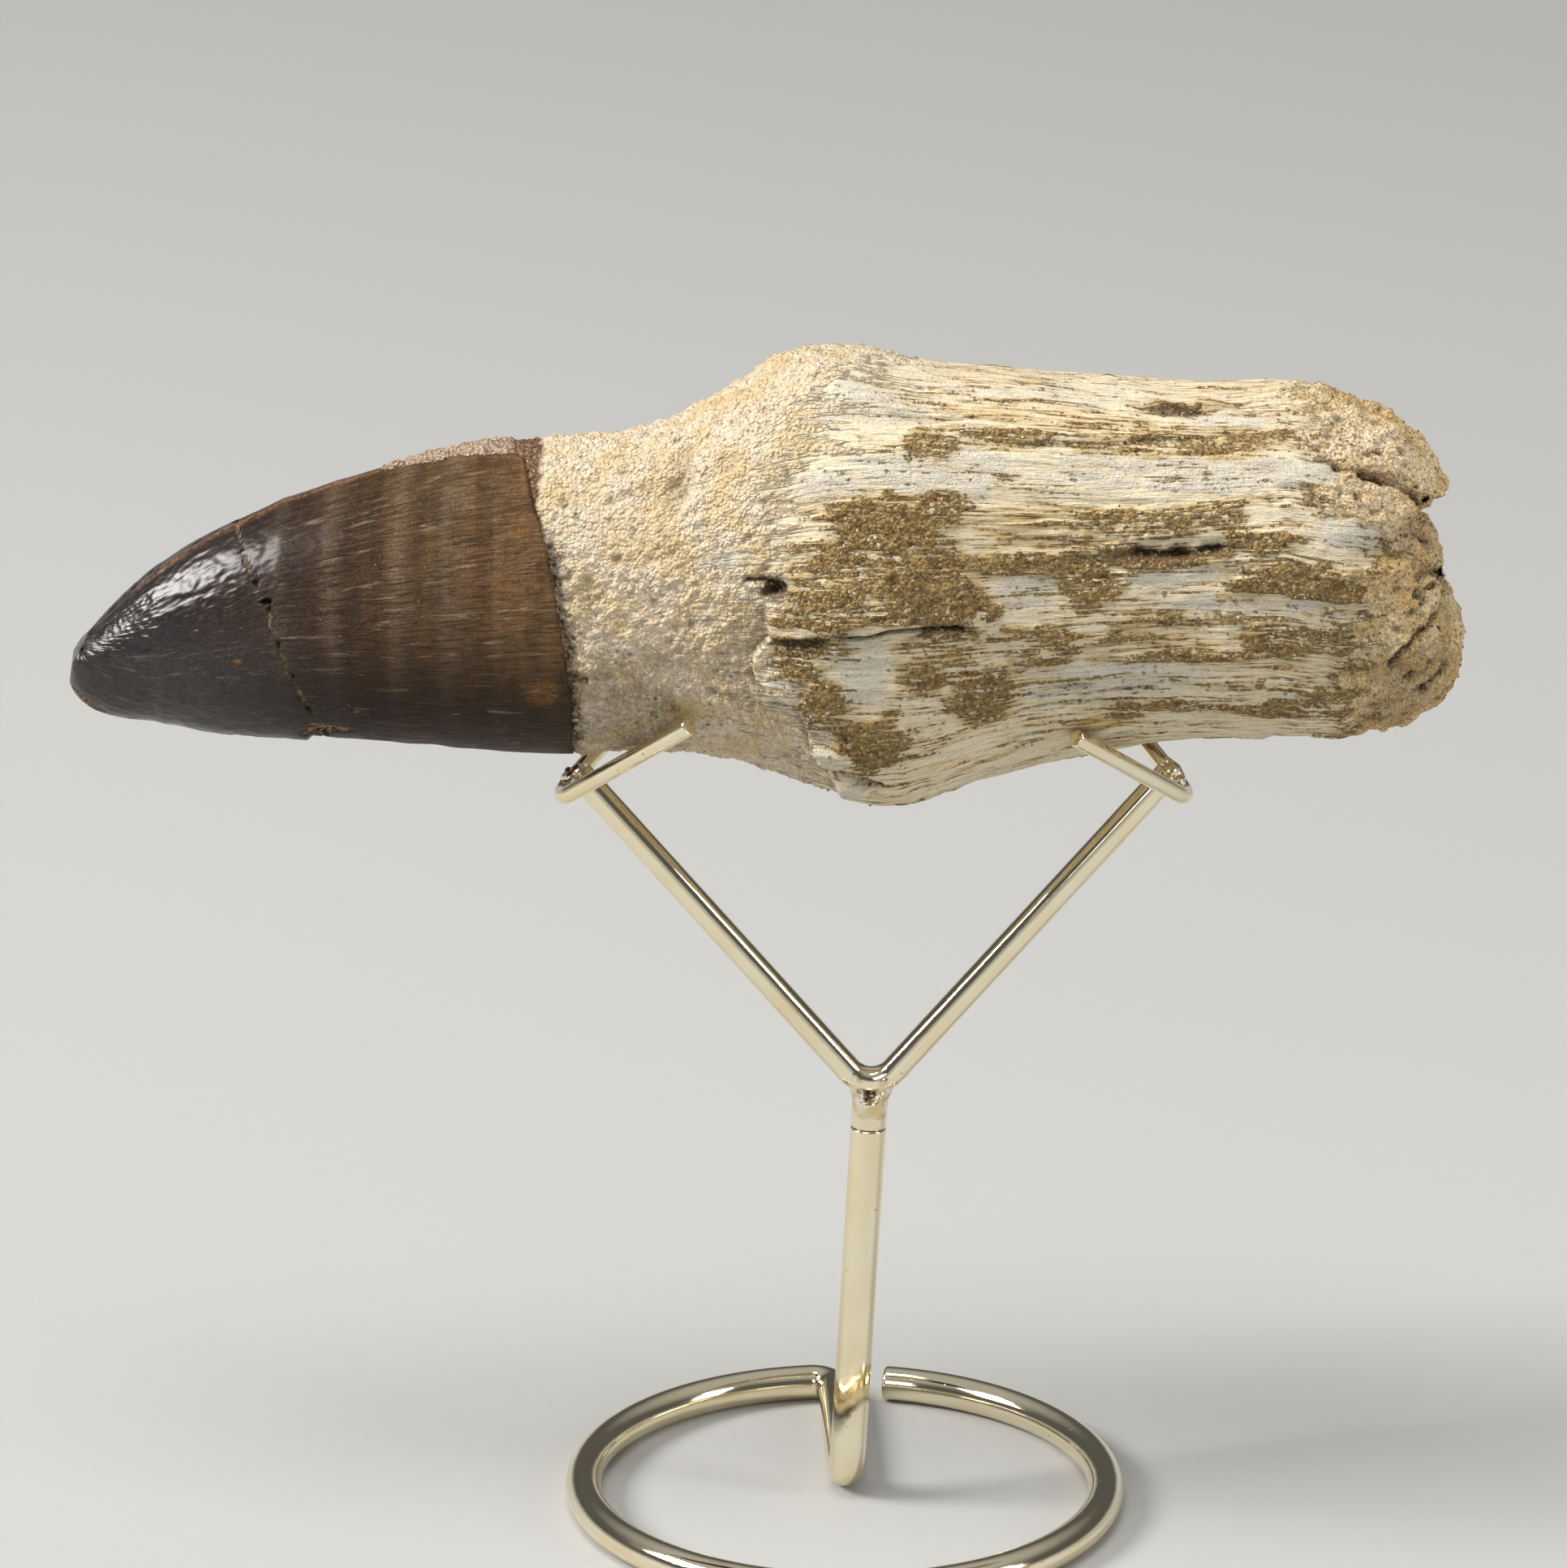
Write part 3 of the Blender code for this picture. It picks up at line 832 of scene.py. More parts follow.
@dataclass
class ToothSkin:
    """The tooth's plain skin: its distance from a bent axis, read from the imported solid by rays.

    Travel is the distance along the tooth, in millimetres: over the crown's cap, along the axis,
    and over the root's cap. Bearings are 0 at the front and 90 at the top.
    """

    node: str = "mosasaur_tooth"
    axis: Route = (
        (-55.2, 70.7), (-38, 75.6), (-18, 77.6), (0, 79), (20, 79.6), (40, 80.2), (55.2, 78),
    )
    crown_cap_x: float = -47.5
    root_cap_x: float = 44.5
    crown_cap_run: float = 12.6
    root_cap_run: float = 18.0
    step: float = 0.6
    around_count: int = 144
    softening: float = 1.25
    inset: float = 0.1
    # Columns stand closer together round this bearing, by this share.
    front_bearing: float = 17.0
    front_crowding: float = 0.33
    # How far apart the net's columns stand, and how many cells the smoothing reaches.
    column_width: float = 0.55
    blur_reach: int = 7

    def __post_init__(self) -> None:
        """Read the solid on an even net and smooth its flats away."""
        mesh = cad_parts[self.node].data
        corners = [vertex.co / MM for vertex in mesh.vertices]
        self.tree = BVHTree.FromPolygons(corners, [p.vertices[:] for p in mesh.polygons])
        self.whole = self.crown_cap_run + self.root_cap_x - self.crown_cap_x + self.root_cap_run
        self.net = self._smoothed(self._read())

    def travel_at(self, x: float) -> float:
        """Return the travel to a place along the straight part of the axis."""
        return self.crown_cap_run + x - self.crown_cap_x

    def _axis(self, x: Numbers) -> Numbers:
        """Return the axis's height at a place along it."""
        return np.interp(x, [p[0] for p in self.axis], [p[1] for p in self.axis])

    def _rays(self, travel: Numbers, bearing: Numbers) -> tuple[Numbers, Numbers]:
        """Aim rays at the skin from the axis.

        Args:
            travel: The travel along the tooth.
            bearing: The bearings in degrees.

        Returns:
            Where the rays start, and their directions.
        """
        past_crown = travel - self.crown_cap_run
        straight = self.root_cap_x - self.crown_cap_x
        x = self.crown_cap_x + np.clip(past_crown, 0.0, straight)
        lean = np.minimum(past_crown / self.crown_cap_run, 0.0)
        lean = lean + np.maximum((past_crown - straight) / self.root_cap_run, 0.0)
        lean, turn = lean * math.pi / 2, np.radians(bearing)
        start = np.stack([x, np.zeros_like(x), self._axis(x)], axis=-1)
        ray = [np.sin(lean), -np.cos(lean) * np.cos(turn), np.cos(lean) * np.sin(turn)]
        return start, np.stack(ray, axis=-1)

    def _read(self) -> Numbers:
        """Read the solid by rays.

        Returns:
            The net of distances from the axis to its surface.
        """
        rows = round(self.whole / self.step) + 1
        travel = np.linspace(0.0, self.whole, rows)
        bearing = np.arange(self.around_count) * 360.0 / self.around_count
        grid = np.meshgrid(travel, bearing, indexing="ij")
        starts, rays = self._rays(grid[0].ravel(), grid[1].ravel())
        far = np.array([self._hit(s, r) for s, r in zip(starts, rays)])
        return far.reshape(rows, self.around_count)

    def _hit(self, start: Numbers, ray: Numbers) -> float:
        """Return the distance along one ray to the surface."""
        return self.tree.ray_cast(Vector(start), Vector(ray))[3] or 0.0

    def _smoothed(self, net: Numbers) -> Numbers:
        """Smooth a net's facets, with its ends mirrored across the poles.

        Args:
            net: The net of distances.

        Returns:
            The smooth net.
        """
        pad = self.blur_reach + 1
        half = self.around_count // 2
        flipped = np.roll(net, half, axis=1)
        tall = np.vstack([flipped[pad:0:-1], net, flipped[-2 : -pad - 2 : -1]])
        tall = self._blurred(tall, self.softening / self.step, 0)[pad:-pad]
        wide = np.hstack([tall[:, -pad:], tall, tall[:, :pad]])
        return self._blurred(wide, self.softening / self.column_width, 1)[:, pad:-pad]

    def _blurred(self, net: Numbers, width: float, axis: int) -> Numbers:
        """Blur a net with a bell.

        Args:
            net: The net.
            width: The bell's width in cells.
            axis: The net's axis to blur along.

        Returns:
            The blurred net.
        """
        reach = np.arange(-self.blur_reach, self.blur_reach + 1)
        bell = np.exp(-(reach**2) / (2 * width**2))
        bell /= bell.sum()
        return np.apply_along_axis(lambda row: np.convolve(row, bell, mode="same"), axis, net)

    def _distance(self, travel: Numbers, bearing: Numbers) -> Numbers:
        """Read the smooth net between its cells.

        Args:
            travel: The travel along the tooth.
            bearing: The bearings in degrees.

        Returns:
            The distance from the axis to the skin.
        """
        rows, columns = self.net.shape
        row = np.clip(travel / self.whole * (rows - 1), 0.0, rows - 1.0)
        column = (bearing % 360.0) / 360.0 * columns
        row_cell = np.minimum(np.floor(row).astype(int), rows - 2)
        column_cell = np.floor(column).astype(int)
        total = np.zeros_like(row)
        for i, row_weight in enumerate(self._cubic(row - row_cell)):
            at_row = np.clip(row_cell + i - 1, 0, rows - 1)
            for j, column_weight in enumerate(self._cubic(column - column_cell)):
                at_column = (column_cell + j - 1) % columns
                total += row_weight * column_weight * self.net[at_row, at_column]
        return total - self.inset

    @staticmethod
    def _cubic(t: Numbers) -> tuple[Numbers, ...]:
        """Weigh four even samples for a smooth curve.

        Args:
            t: The share of the way from the second to the third.

        Returns:
            Their weights.
        """
        return (
            -0.5 * t + t**2 - 0.5 * t**3,
            1.0 - 2.5 * t**2 + 1.5 * t**3,
            0.5 * t + 2.0 * t**2 - 1.5 * t**3,
            -0.5 * t**2 + 0.5 * t**3,
        )

    def net_of(self, travel: Numbers, columns: int) -> tuple[Places, tuple[int, int]]:
        """Return a fine net of the skin.

        Args:
            travel: Each row's travel.
            columns: How many columns, closer together at the front.

        Returns:
            The places, and the shape of the net as (rows, columns).
        """
        rows = len(travel)
        even = np.arange(columns) * 2 * math.pi / columns
        crowded = np.degrees(even - self.front_crowding * np.sin(even))
        bearing = turned(self.front_bearing + crowded)
        grid = [part.ravel() for part in np.meshgrid(travel, bearing, indexing="ij")]
        starts, rays = self._rays(*grid)
        points = starts + rays * self._distance(*grid)[:, None]
        girth = np.hypot(points[:, 1], points[:, 2] - self._axis(points[:, 0]))
        outward = net_normals(points.reshape(rows, columns, 3), rays.reshape(rows, columns, 3))
        return Places(points, grid[1], np.maximum(girth, 0.5), outward), (rows, columns)


def net_normals(net: Numbers, rays: Numbers) -> Numbers:
    """Find the normals of a net that is closed round its second axis.

    Args:
        net: Its points.
        rays: Rough outward directions.

    Returns:
        Each point's outward normal, row by row.
    """
    along = np.gradient(net, axis=0)
    across = np.roll(net, -1, axis=1) - np.roll(net, 1, axis=1)
    normal = np.cross(along, across)
    length = np.linalg.norm(normal, axis=2, keepdims=True)
    normal = np.where(length > 1e-9, normal / np.maximum(length, 1e-9), rays)
    normal = normal * np.sign((normal * rays).sum(axis=2, keepdims=True) + 1e-9)
    return normal.reshape(-1, 3)


def inside_box(points: Numbers, gap: float = 0.01) -> Numbers:
    """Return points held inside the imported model's box, a gap away from its walls."""
    low, high = (np.array(corner) / MM for corner in CAD_BOX)
    return np.clip(points, low + gap, high - gap)


def net_piece(
    name: str,
    points: Numbers,
    shape: tuple[int, int],
    marks: Marks,
    flow: Numbers,
    finish: Material,
    open_ends: tuple[bool, bool],
    normals: Numbers | None = None,
) -> Object:
    """Return a closed mesh object from a net of the tooth's skin.

    Args:
        name: The piece's name.
        points: Its points in millimetres, row by row.
        shape: The net's rows and columns.
        marks: Values kept at each point for the finish.
        flow: Coordinates that follow the fibres, kept at each point.
        finish: Its material.
        open_ends: Whether the first and the last end is a flat cap inside the tooth.
        normals: The normal to shade with at each point, where the piece meets another.

    Returns:
        The object.
    """
    rows, columns = shape
    count = rows * columns
    net = inside_box(points).reshape(rows, columns, 3)
    poles = np.stack([net[0].mean(axis=0), net[-1].mean(axis=0)])
    ids = np.arange(count).reshape(rows, columns)
    beside = np.roll(ids, -1, axis=1)
    quads = np.stack([ids[:-1], ids[1:], beside[1:], beside[:-1]], axis=-1).reshape(-1, 4)
    first = np.stack([np.full(columns, count), ids[0], beside[0]], axis=-1)
    last = np.stack([np.full(columns, count + 1), beside[-1], ids[-1]], axis=-1)
    mesh = bpy.data.meshes.new(name)
    vertices = np.vstack([net.reshape(-1, 3), poles]) * MM
    mesh.from_pydata(vertices.tolist(), [], quads.tolist() + first.tolist() + last.tolist())
    smooth = np.ones(len(mesh.polygons), bool)
    smooth[len(quads) : len(quads) + columns] = not open_ends[0]
    smooth[len(quads) + columns :] = not open_ends[1]
    mesh.polygons.foreach_set("use_smooth", smooth)
    ends = (slice(0, columns), slice(count - columns, count))
    for key, values in marks.items():
        whole = np.concatenate([values, [values[end].mean() for end in ends]]).astype(np.float32)
        mesh.attributes.new(key, "FLOAT", "POINT").data.foreach_set("value", whole)
    whole = np.vstack([flow, [flow[end].mean(axis=0) for end in ends]]).astype(np.float32)
    mesh.attributes.new("flow", "FLOAT_VECTOR", "POINT").data.foreach_set("vector", whole.ravel())
    mesh.materials.append(finish)
    mesh.validate()
    if normals is not None:
        poles = [normals[end].mean(axis=0) for end in ends]
        mesh.normals_split_custom_set_from_vertices(np.vstack([normals, poles]).tolist())
    return link(name, mesh)


@dataclass
class EnamelEdge:
    """Where the enamel ends round the base of the crown."""

    table: Table = (
        (-170, -15.2), (-140, -14.4), (-110, -14.6), (-90, -15), (-66, -15.1), (-52, -14.9),
        (-38, -15), (-25, -15.3), (-13, -15.7), (-1, -15.9), (10, -16.2), (22, -16.5),
        (32, -16.9), (41, -17.2), (52, -17.9), (64, -18.5), (77, -18.9), (81.5, -19.5),
        (83, -21.5), (84.5, -25), (86.5, -27.6), (89, -29.5), (93, -30.5), (98, -29), (104, -27),
        (110, -23), (114, -20), (122, -18.4), (140, -17.4), (160, -16),
    )
    ragged: float = 0.16
    seed: int = 5

    def inside(self, places: Places) -> Numbers:
        """Measure how far in from the edge points are.

        Args:
            places: Points of the skin.

        Returns:
            Millimetres, negative outside the enamel.
        """
        weather = Weather(self.seed)
        edge = around(self.table, places.bearings)
        ahead = around(self.table, places.bearings + 1.0)
        slope = (ahead - edge) / (math.radians(1.0) * places.girth)
        ragged = weather.rough(places.points, 1.3, 4, 0.7) * self.ragged
        return (edge - places.along) / np.sqrt(1.0 + slope**2) + ragged


@dataclass
class CrownEnamel:
    """The enamel crown: a shell that stands proud of the bone and dives under it at its edge."""

    rows: int = 262
    columns: int = 366
    end_x: float = -12.5
    proud: float = 0.15
    sunk: float = 0.75
    edge_rise: float = 0.14
    tip_swell: float = 0.75
    tip_x: float = -55.4
    tip_length: float = 3.4
    belly: float = 0.42
    band_width: float = 0.85
    keel_width: float = 0.38
    keel_height: float = 0.1
    hairline_width: float = 0.11
    crack_depth: float = 0.17
    gap_depth: float = 0.3
    far_crack_depth: float = 0.16
    chip_depth: float = 0.42
    seed: int = 11
    # The planes that the tip is worn and broken to: a point, an outward normal, how raw it is.
    facets: tuple[tuple[Triple, Triple, float], ...] = (
        ((-55.1, 0.0, 70.0), (-0.985, -0.06, 0.16), 0.0),
        ((-53.75, 0.0, 67.95), (-0.62, -0.34, -0.71), 1.0),
        ((-54.6, 0.0, 72.05), (-0.86, -0.05, 0.5), 0.0),
    )
    bands: Table = (
        (-33.8, 0.05), (-28.3, 0.06), (-26.2, -0.05), (-24.4, 0.06), (-21.5, -0.03), (-38, 0.03),
    )
    crack: Route = (
        (-41.6, 96), (-41.4, 74), (-41.2, 63), (-40.6, 54), (-40, 44), (-39.5, 33), (-39.1, 26),
        (-38.9, 17), (-38.6, 5), (-38.1, -2), (-37.8, -11), (-37.3, -20), (-36.9, -28),
        (-36.3, -38), (-35.8, -48), (-35.2, -55), (-34.6, -72), (-35.5, -95), (-37, -125),
    )
    gap: Route = ((-39.25, 28.5), (-39, 26))
    far_crack: Route = (
        (-41.6, 96), (-40.2, 118), (-40.8, 140), (-38.2, 163), (-37.6, 186), (-36.4, 214),
        (-37, 235),
    )
    hairlines: tuple[Route, ...] = (
        ((-50.6, -2), (-48.2, 6), (-45.9, 8)), ((-49.6, -25), (-46.6, -16), (-43.8, -11)),
        ((-38.2, 1), (-36.6, 2), (-32.8, 2)), ((-37, -20), (-34.7, -18), (-32.7, -17)),
        ((-35, 43), (-32.5, 45), (-30.6, 45)), ((-33.2, 27), (-30, 28)),
        ((-32.6, 52), (-29.4, 54)), ((-46.2, 0), (-43.9, 3)), ((-34, -8), (-31, -7.5)),
        ((-30.8, -30), (-27.6, -29)), ((-26.5, 74), (-19.5, 70)),
    )
    chips: Patches = (
        (-35.4, -69, 1.1, 0.8), (-34.2, -63, 1.6, 0.5, 0.7), (-41.5, -84, 0.8, 0.5, 0.8),
        (-30, -84, 1.2, 0.4, 0.6), (-44.5, 172, 2.4, 0.35, 0.7), (-22.5, 208, 1.9, 0.4, 0.6),
    )
    rust_spots: Patches = (
        (-17.4, -31, 1.2, 1.1, 0.6), (-19, 43, 0.45, 0.35, 1), (-41.4, -10, 0.3, 0.25, 1),
        (-39.5, 88, 2.4, 0.5, 0.5), (-21, 196, 2.6, 1, 0.5),
    )
    keels: tuple[Route, ...] = (
        ((-52.5, 84), (-46, 87), (-38, 89), (-30, 90), (-25, 92)),
        ((-50, -96), (-42, -93), (-34, -92), (-26, -93), (-17, -95)),
    )

    def build(self, skin: ToothSkin, edge: EnamelEdge, finish: EnamelFinish) -> Object:
        """Build the crown and dress it.

        Args:
            skin: The tooth's plain skin.
            edge: Where the enamel ends.
            finish: The enamel's finish.

        Returns:
            The crown's piece.
        """
        travel = np.linspace(0.0, skin.travel_at(self.end_x), self.rows)
        places, shape = skin.net_of(travel, self.columns)
        weather = Weather(self.seed)
        inside = edge.inside(places)
        sway = weather.rough(places.points, 1.1, 3, 0.6)
        rise = -self.sunk + (self.proud + self.sunk) * eased(inside, -0.02, self.edge_rise)
        swell = 1.0 - 1.5 * eased(places.outward[:, 2], 0.15, 0.75)
        behind_tip = (places.along - self.tip_x) / self.tip_length
        rise += self.tip_swell * swell * np.exp(-(behind_tip**2))
        rise += self._body(places, weather)
        marks = {"scratch": np.zeros(len(rise)), "keel": self._keel(places, weather)}
        rise += marks["keel"] * self.keel_height
        rise += self._cracks(places, sway, marks)
        rise += self._chips(places, weather, marks)
        marks["rust"] = patches(self.rust_spots, places, sway * 0.5)
        raised = [max(height, 0.0) / 0.06 for _, height in self.bands]
        marks["growth"] = np.array(raised) @ np.array(self._growth(places, weather))
        # Painted shade: 1 where the crown faces down, fading to 0 where it faces sideways.
        marks["under"] = eased(places.outward[:, 2], 0.1, -0.55)
        for route in self.hairlines:
            away, share = places.from_line(route, sway * 0.12)
            line = eased(away, self.hairline_width, 0.03)
            line = line * eased(share, 0.0, 0.15) * eased(share, 1.0, 0.8)
            marks["scratch"] = np.maximum(marks["scratch"], line * 0.9)
        points = places.points + places.outward * rise[:, None]
        points = self._worn_tip(points, weather, marks)
        piece = net_piece(
            "crown_enamel", points, shape, marks, places.flow, finish.material(), (False, True)
        )
        return finished(piece, "mosasaur_tooth")

    def _body(self, places: Places, weather: Weather) -> Numbers:
        """Shape the crown's lumps, growth bands, ribs and crinkles.

        Args:
            places: Points of the skin.
            weather: Its noise.

        Returns:
            Their height.
        """
        rise = weather.rough(places.points, 7.0, 2) * 0.13
        for band, height in zip(self._growth(places, weather), dict(self.bands).values()):
            rise += height * band
        flow = places.flow
        rise += weather.rough(flow, (7.0, 0.9, 0.9), 2) * 0.022
        rise += weather.rough(flow, (3.0, 0.4, 0.4), 2) * 0.01
        crinkle = np.abs(weather.rough(places.points + 5.0, (1.5, 1.0, 1.0), 3, 0.65))
        rise += (0.035 - crinkle * 0.13) * (0.25 + 0.75 * eased(places.along, -33.0, -44.0))
        sag = eased(places.along, -49.0, -44.0) * eased(places.along, -35.8, -36.3)
        rise += self.belly * sag * eased(places.outward[:, 2], -0.55, -0.95)
        near_base = eased(places.along, -32.0, -18.0)
        return rise + near_base * weather.rough(flow, (2.6, 0.55, 0.55), 2) * 0.016

    def _growth(self, places: Places, weather: Weather) -> list[Numbers]:
        """Return how strongly each point belongs to each of the crown's growth bands."""
        bent = places.along + weather.soft(places.points, 9.0) * 0.5
        return [np.exp(-(((bent - place) / self.band_width) ** 2)) for place, _ in self.bands]

    def _keel(self, places: Places, weather: Weather) -> Numbers:
        """Find the crown's two cutting edges.

        Args:
            places: Points of the skin.
            weather: Its noise.

        Returns:
            How strongly each point belongs to one.
        """
        keel = np.zeros(len(places.along))
        for route in self.keels:
            away, share = places.from_line(route)
            width = self.keel_width + 0.12 * weather.soft(places.points, 1.4)
            line = np.exp(-((away / width) ** 2)) * eased(share, 0.0, 0.2) * eased(share, 1.0, 0.9)
            keel = np.maximum(keel, line)
        return keel

    def _cracks(self, places: Places, sway: Numbers, marks: Marks) -> Numbers:
        """Cut the cracks, and note their filling and the painted shade in their open parts and gap.

        Args:
            places: Points of the skin.
            sway: Noise that pushes them aside.
            marks: Marks to add to.

        Returns:
            The height that they add.
        """
        away, share = places.from_line(self.crack, sway * 0.34)
        width = 0.075 + 0.04 * np.sin(share * 37.0) + 0.03 * np.sin(share * 91.0)
        filled = eased(away, width + 0.05, width - 0.04)
        broken = eased(np.abs(np.sin(share * 23.0 + 1.0)), 0.15, 0.6)
        deep, _ = places.from_line(self.gap, sway * 0.3)
        gap = eased(deep, 0.34, 0.14)
        far, _ = places.from_line(self.far_crack, sway * 0.5)
        far = eased(far, 0.22, 0.06)
        marks["filled"] = filled * broken * (1.0 - gap)
        # Painted shade inside the open parts of the cracks, the gap and the far crack.
        marks["dark"] = np.maximum.reduce([gap, far * 0.8, filled * (1.0 - broken)])
        return -self.crack_depth * filled - self.gap_depth * gap - self.far_crack_depth * far

    def _chips(self, places: Places, weather: Weather, marks: Marks) -> Numbers:
        """Chip the enamel.

        Args:
            places: Points of the skin.
            weather: Its noise.
            marks: Marks to add to.

        Returns:
            The height that the chips add.
        """
        ragged = weather.rough(places.points, 0.9, 3, 0.6) * 0.45
        chip = patches(self.chips, places, ragged)
        marks["broken"] = eased(chip, 0.15, 0.5)
        uneven = 0.07 * marks["broken"] * weather.rough(places.points, 0.5, 2)
        return -self.chip_depth * chip + uneven

    def _worn_tip(self, points: Numbers, weather: Weather, marks: Marks) -> Numbers:
        """Wear and break the tip off along its planes.

        Args:
            points: The crown's points.
            weather: Its noise.
            marks: Marks to change.

        Returns:
            The points that are left.
        """
        for place, outward, raw in self.facets:
            normal = np.array(outward) / np.linalg.norm(outward)
            uneven = weather.rough(points, 1.0, 3, 0.6) * (0.03 + 0.1 * raw)
            past = (points - np.array(place)) @ normal + uneven
            marks["broken"] = np.maximum(marks["broken"], raw * eased(past, -0.5, -0.15))
            points = points - normal * np.maximum(past, 0.0)[:, None]
        return points


@dataclass
class FossilBone:
    """The bone: the sandy neck below the crown and the fibrous root, down to its broken end."""

    rows: int = 222
    columns: int = 440
    start_x: float = -31.5
    split_x: float = 0.0
    under_enamel: float = 0.45
    front_bearing: float = 17.0
    rim_end_x: float = -17.75
    rim_depth: float = 0.16
    rim_cleft: float = 0.55
    worn_height: float = 0.1
    grain_size: float = 0.62
    clod_size: float = 1.15
    clod_height: float = 0.3
    pit_size: float = 1.9
    pit_depth: float = 0.26
    hole_size: float = 1.25
    hole_depth: float = 0.42
    crust_height: float = 0.14
    seed: int = 23
    end_seed: int = 31
    neck_end: Table = (
        (-120, 6), (-90, 5), (-65, 4.5), (-50, 4), (-40, 2.5), (-28, 0), (0, -0.4), (20, 0.5),
        (40, 1.5), (60, 3.5), (80, 9.5), (100, 13), (130, 9), (170, 4), (215, 3),
    )
    end_crust: Table = (
        (-90, 44.5), (-47, 46), (-27, 44.9), (-10, 45.8), (7, 45.3), (18, 47.4), (33, 47.7),
        (40, 44.3), (50, 44.9), (64, 44.4), (92, 42.8), (130, 43.5), (170, 45), (210, 43),
        (240, 45.5),
    )
    ledge_x: Table = (
        (-90, 6), (-58, 5.6), (-52, 4.5), (-42, 3.4), (-32, 2.6), (-29, 0.8), (-23, -0.9),
        (-16, -1.2), (-7, 0.2), (-2, -0.1), (4, 0), (15, 0.3), (35, 2), (180, 4),
    )
    ledge_height: Table = (
        (-88, 0), (-68, 0.9), (-52, 1.6), (-34, 1.4), (-16, 1.15), (-5, 1.05), (6, 0.6),
        (15, 0.2), (28, 0), (180, 0), (200, 0.3), (230, 0.25), (260, 0),
    )
    ledge_fade: float = 4.5
    # How far the broken end reaches at each height.
    end_reach: Table = (
        (64, 44), (66, 45.5), (66.6, 47.2), (67.9, 49.6), (69.6, 52.8), (71.3, 54.3), (74, 54.8),
        (77, 54.3), (78.4, 53.5), (79.3, 53.2), (80.7, 53.1), (83, 52.3), (84, 50.9),
        (84.9, 50.2), (85.7, 50.5), (86.7, 52.3), (87.7, 53.5), (89.7, 51.8), (91.3, 50.2),
        (92.5, 48.8), (93.8, 46), (95, 44.2),
    )
    end_from: float = 42.5
    end_heights: Triple = (60.0, 99.0, 0.5)
    shelf: Route = (
        (0.2, -7), (2.2, -6), (4.1, -4.5), (6.1, -4), (7.8, -4), (9.5, -2.5), (11.3, -2),
        (14.5, -2), (16.5, -4.5),
    )
    shelf_height: float = 0.75
    # Rows of a Groove's values.
    crevices: tuple[tuple[Route, float, float, float, float], ...] = (
        (((4.6, -4.6), (7.8, -4.2), (9.5, -2.6), (11.3, -2), (14.5, -2), (15.9, -4)),
         0.19, 0.85, 1.3, 0.15),
        (((0.2, -8), (2.2, -7.5), (4.6, -5.5)), 0.55, 0.55, 0.75, 0.3),
        (((22.3, 20), (25.6, 21), (28.5, 22), (31.8, 22.2), (34.4, 23.6), (37.6, 24)),
         0.55, 0.3, 0.45, 0.4),
        (((27.9, 22.2), (30, 23), (31.8, 22.2), (32.7, 21.8)), 0.34, 0.75, 0.55, 0.6),
        (((33.3, 22.8), (35.2, 23.8)), 0.3, 0.6, 0.6, 0.5),
        (((-1.9, 16.4), (-0.4, 16), (0.6, 14.6)), 0.2, 0.45, 1, 0.2),
        (((4.2, -51.5), (5.7, -53), (7.2, -55), (9.4, -58)), 0.36, 0.95, 1.1, 0.3),
        (((-14.1, 24), (-13.8, 12), (-13.5, -4)), 0.6, 0.22, 0.16, 0.6),
        (((45.5, 53), (46.6, 52.4), (48.5, 52), (50.2, 51), (51.6, 49)), 0.42, 0.75, 0.55, 0.4),
        (((42.5, 54.6), (44, 54), (48.5, 52)), 0.18, 0.3, 0.7, 0.3),
        (((53.2, 22), (51.7, 20), (50.6, 15)), 0.5, 0.75, 0.45, 0.3),
        (((54.4, -5), (53, -5), (51.8, -9), (50.5, -12), (49.1, -17), (48.1, -27)),
         0.24, 0.6, 0.75, 0.4),
        (((53.2, -33), (52, -37), (50.4, -41)), 0.42, 0.6, 0.7, 0.3),
        (((24, -33.6), (27, -32.4), (30.5, -32)), 0.12, 0.22, 0.8, 0.15),
        (((19, -37.6), (24, -36.4), (29, -37.2)), 0.12, 0.25, 0.9, 0.15),
        (((22.5, -30), (25.5, -29.4)), 0.1, 0.2, 0.7, 0.1),
        (((18.5, 57.8), (24, 58.6), (31, 61), (34.5, 62.5)), 0.3, 0.28, 0.5, 0.3),
        (((28, 78), (31, 74), (34.5, 78), (38, 80)), 0.35, 0.25, 0.4, 0.4),
        (((9, 66), (12.5, 64), (15.5, 66)), 0.3, 0.22, 0.35, 0.5),
        (((6, 120), (20, 124), (33, 121), (42, 126)), 0.35, 0.6, 0.6, 0.5),
        (((12, 168), (24, 164), (36, 170)), 0.28, 0.45, 0.7, 0.4),
        (((2, 205), (9, 199), (22, 203), (27, 199)), 0.25, 0.7, 0.9, 0.3),
        (((44, 150), (48, 155), (51.5, 160)), 0.6, 0.9, 0.6, 0.4),
        (((46, 225), (49.5, 221), (52.5, 228)), 0.5, 0.8, 0.6, 0.4),
        (((20, -110), (32, -106), (41, -112)), 0.3, 0.45, 0.6, 0.4),
    )
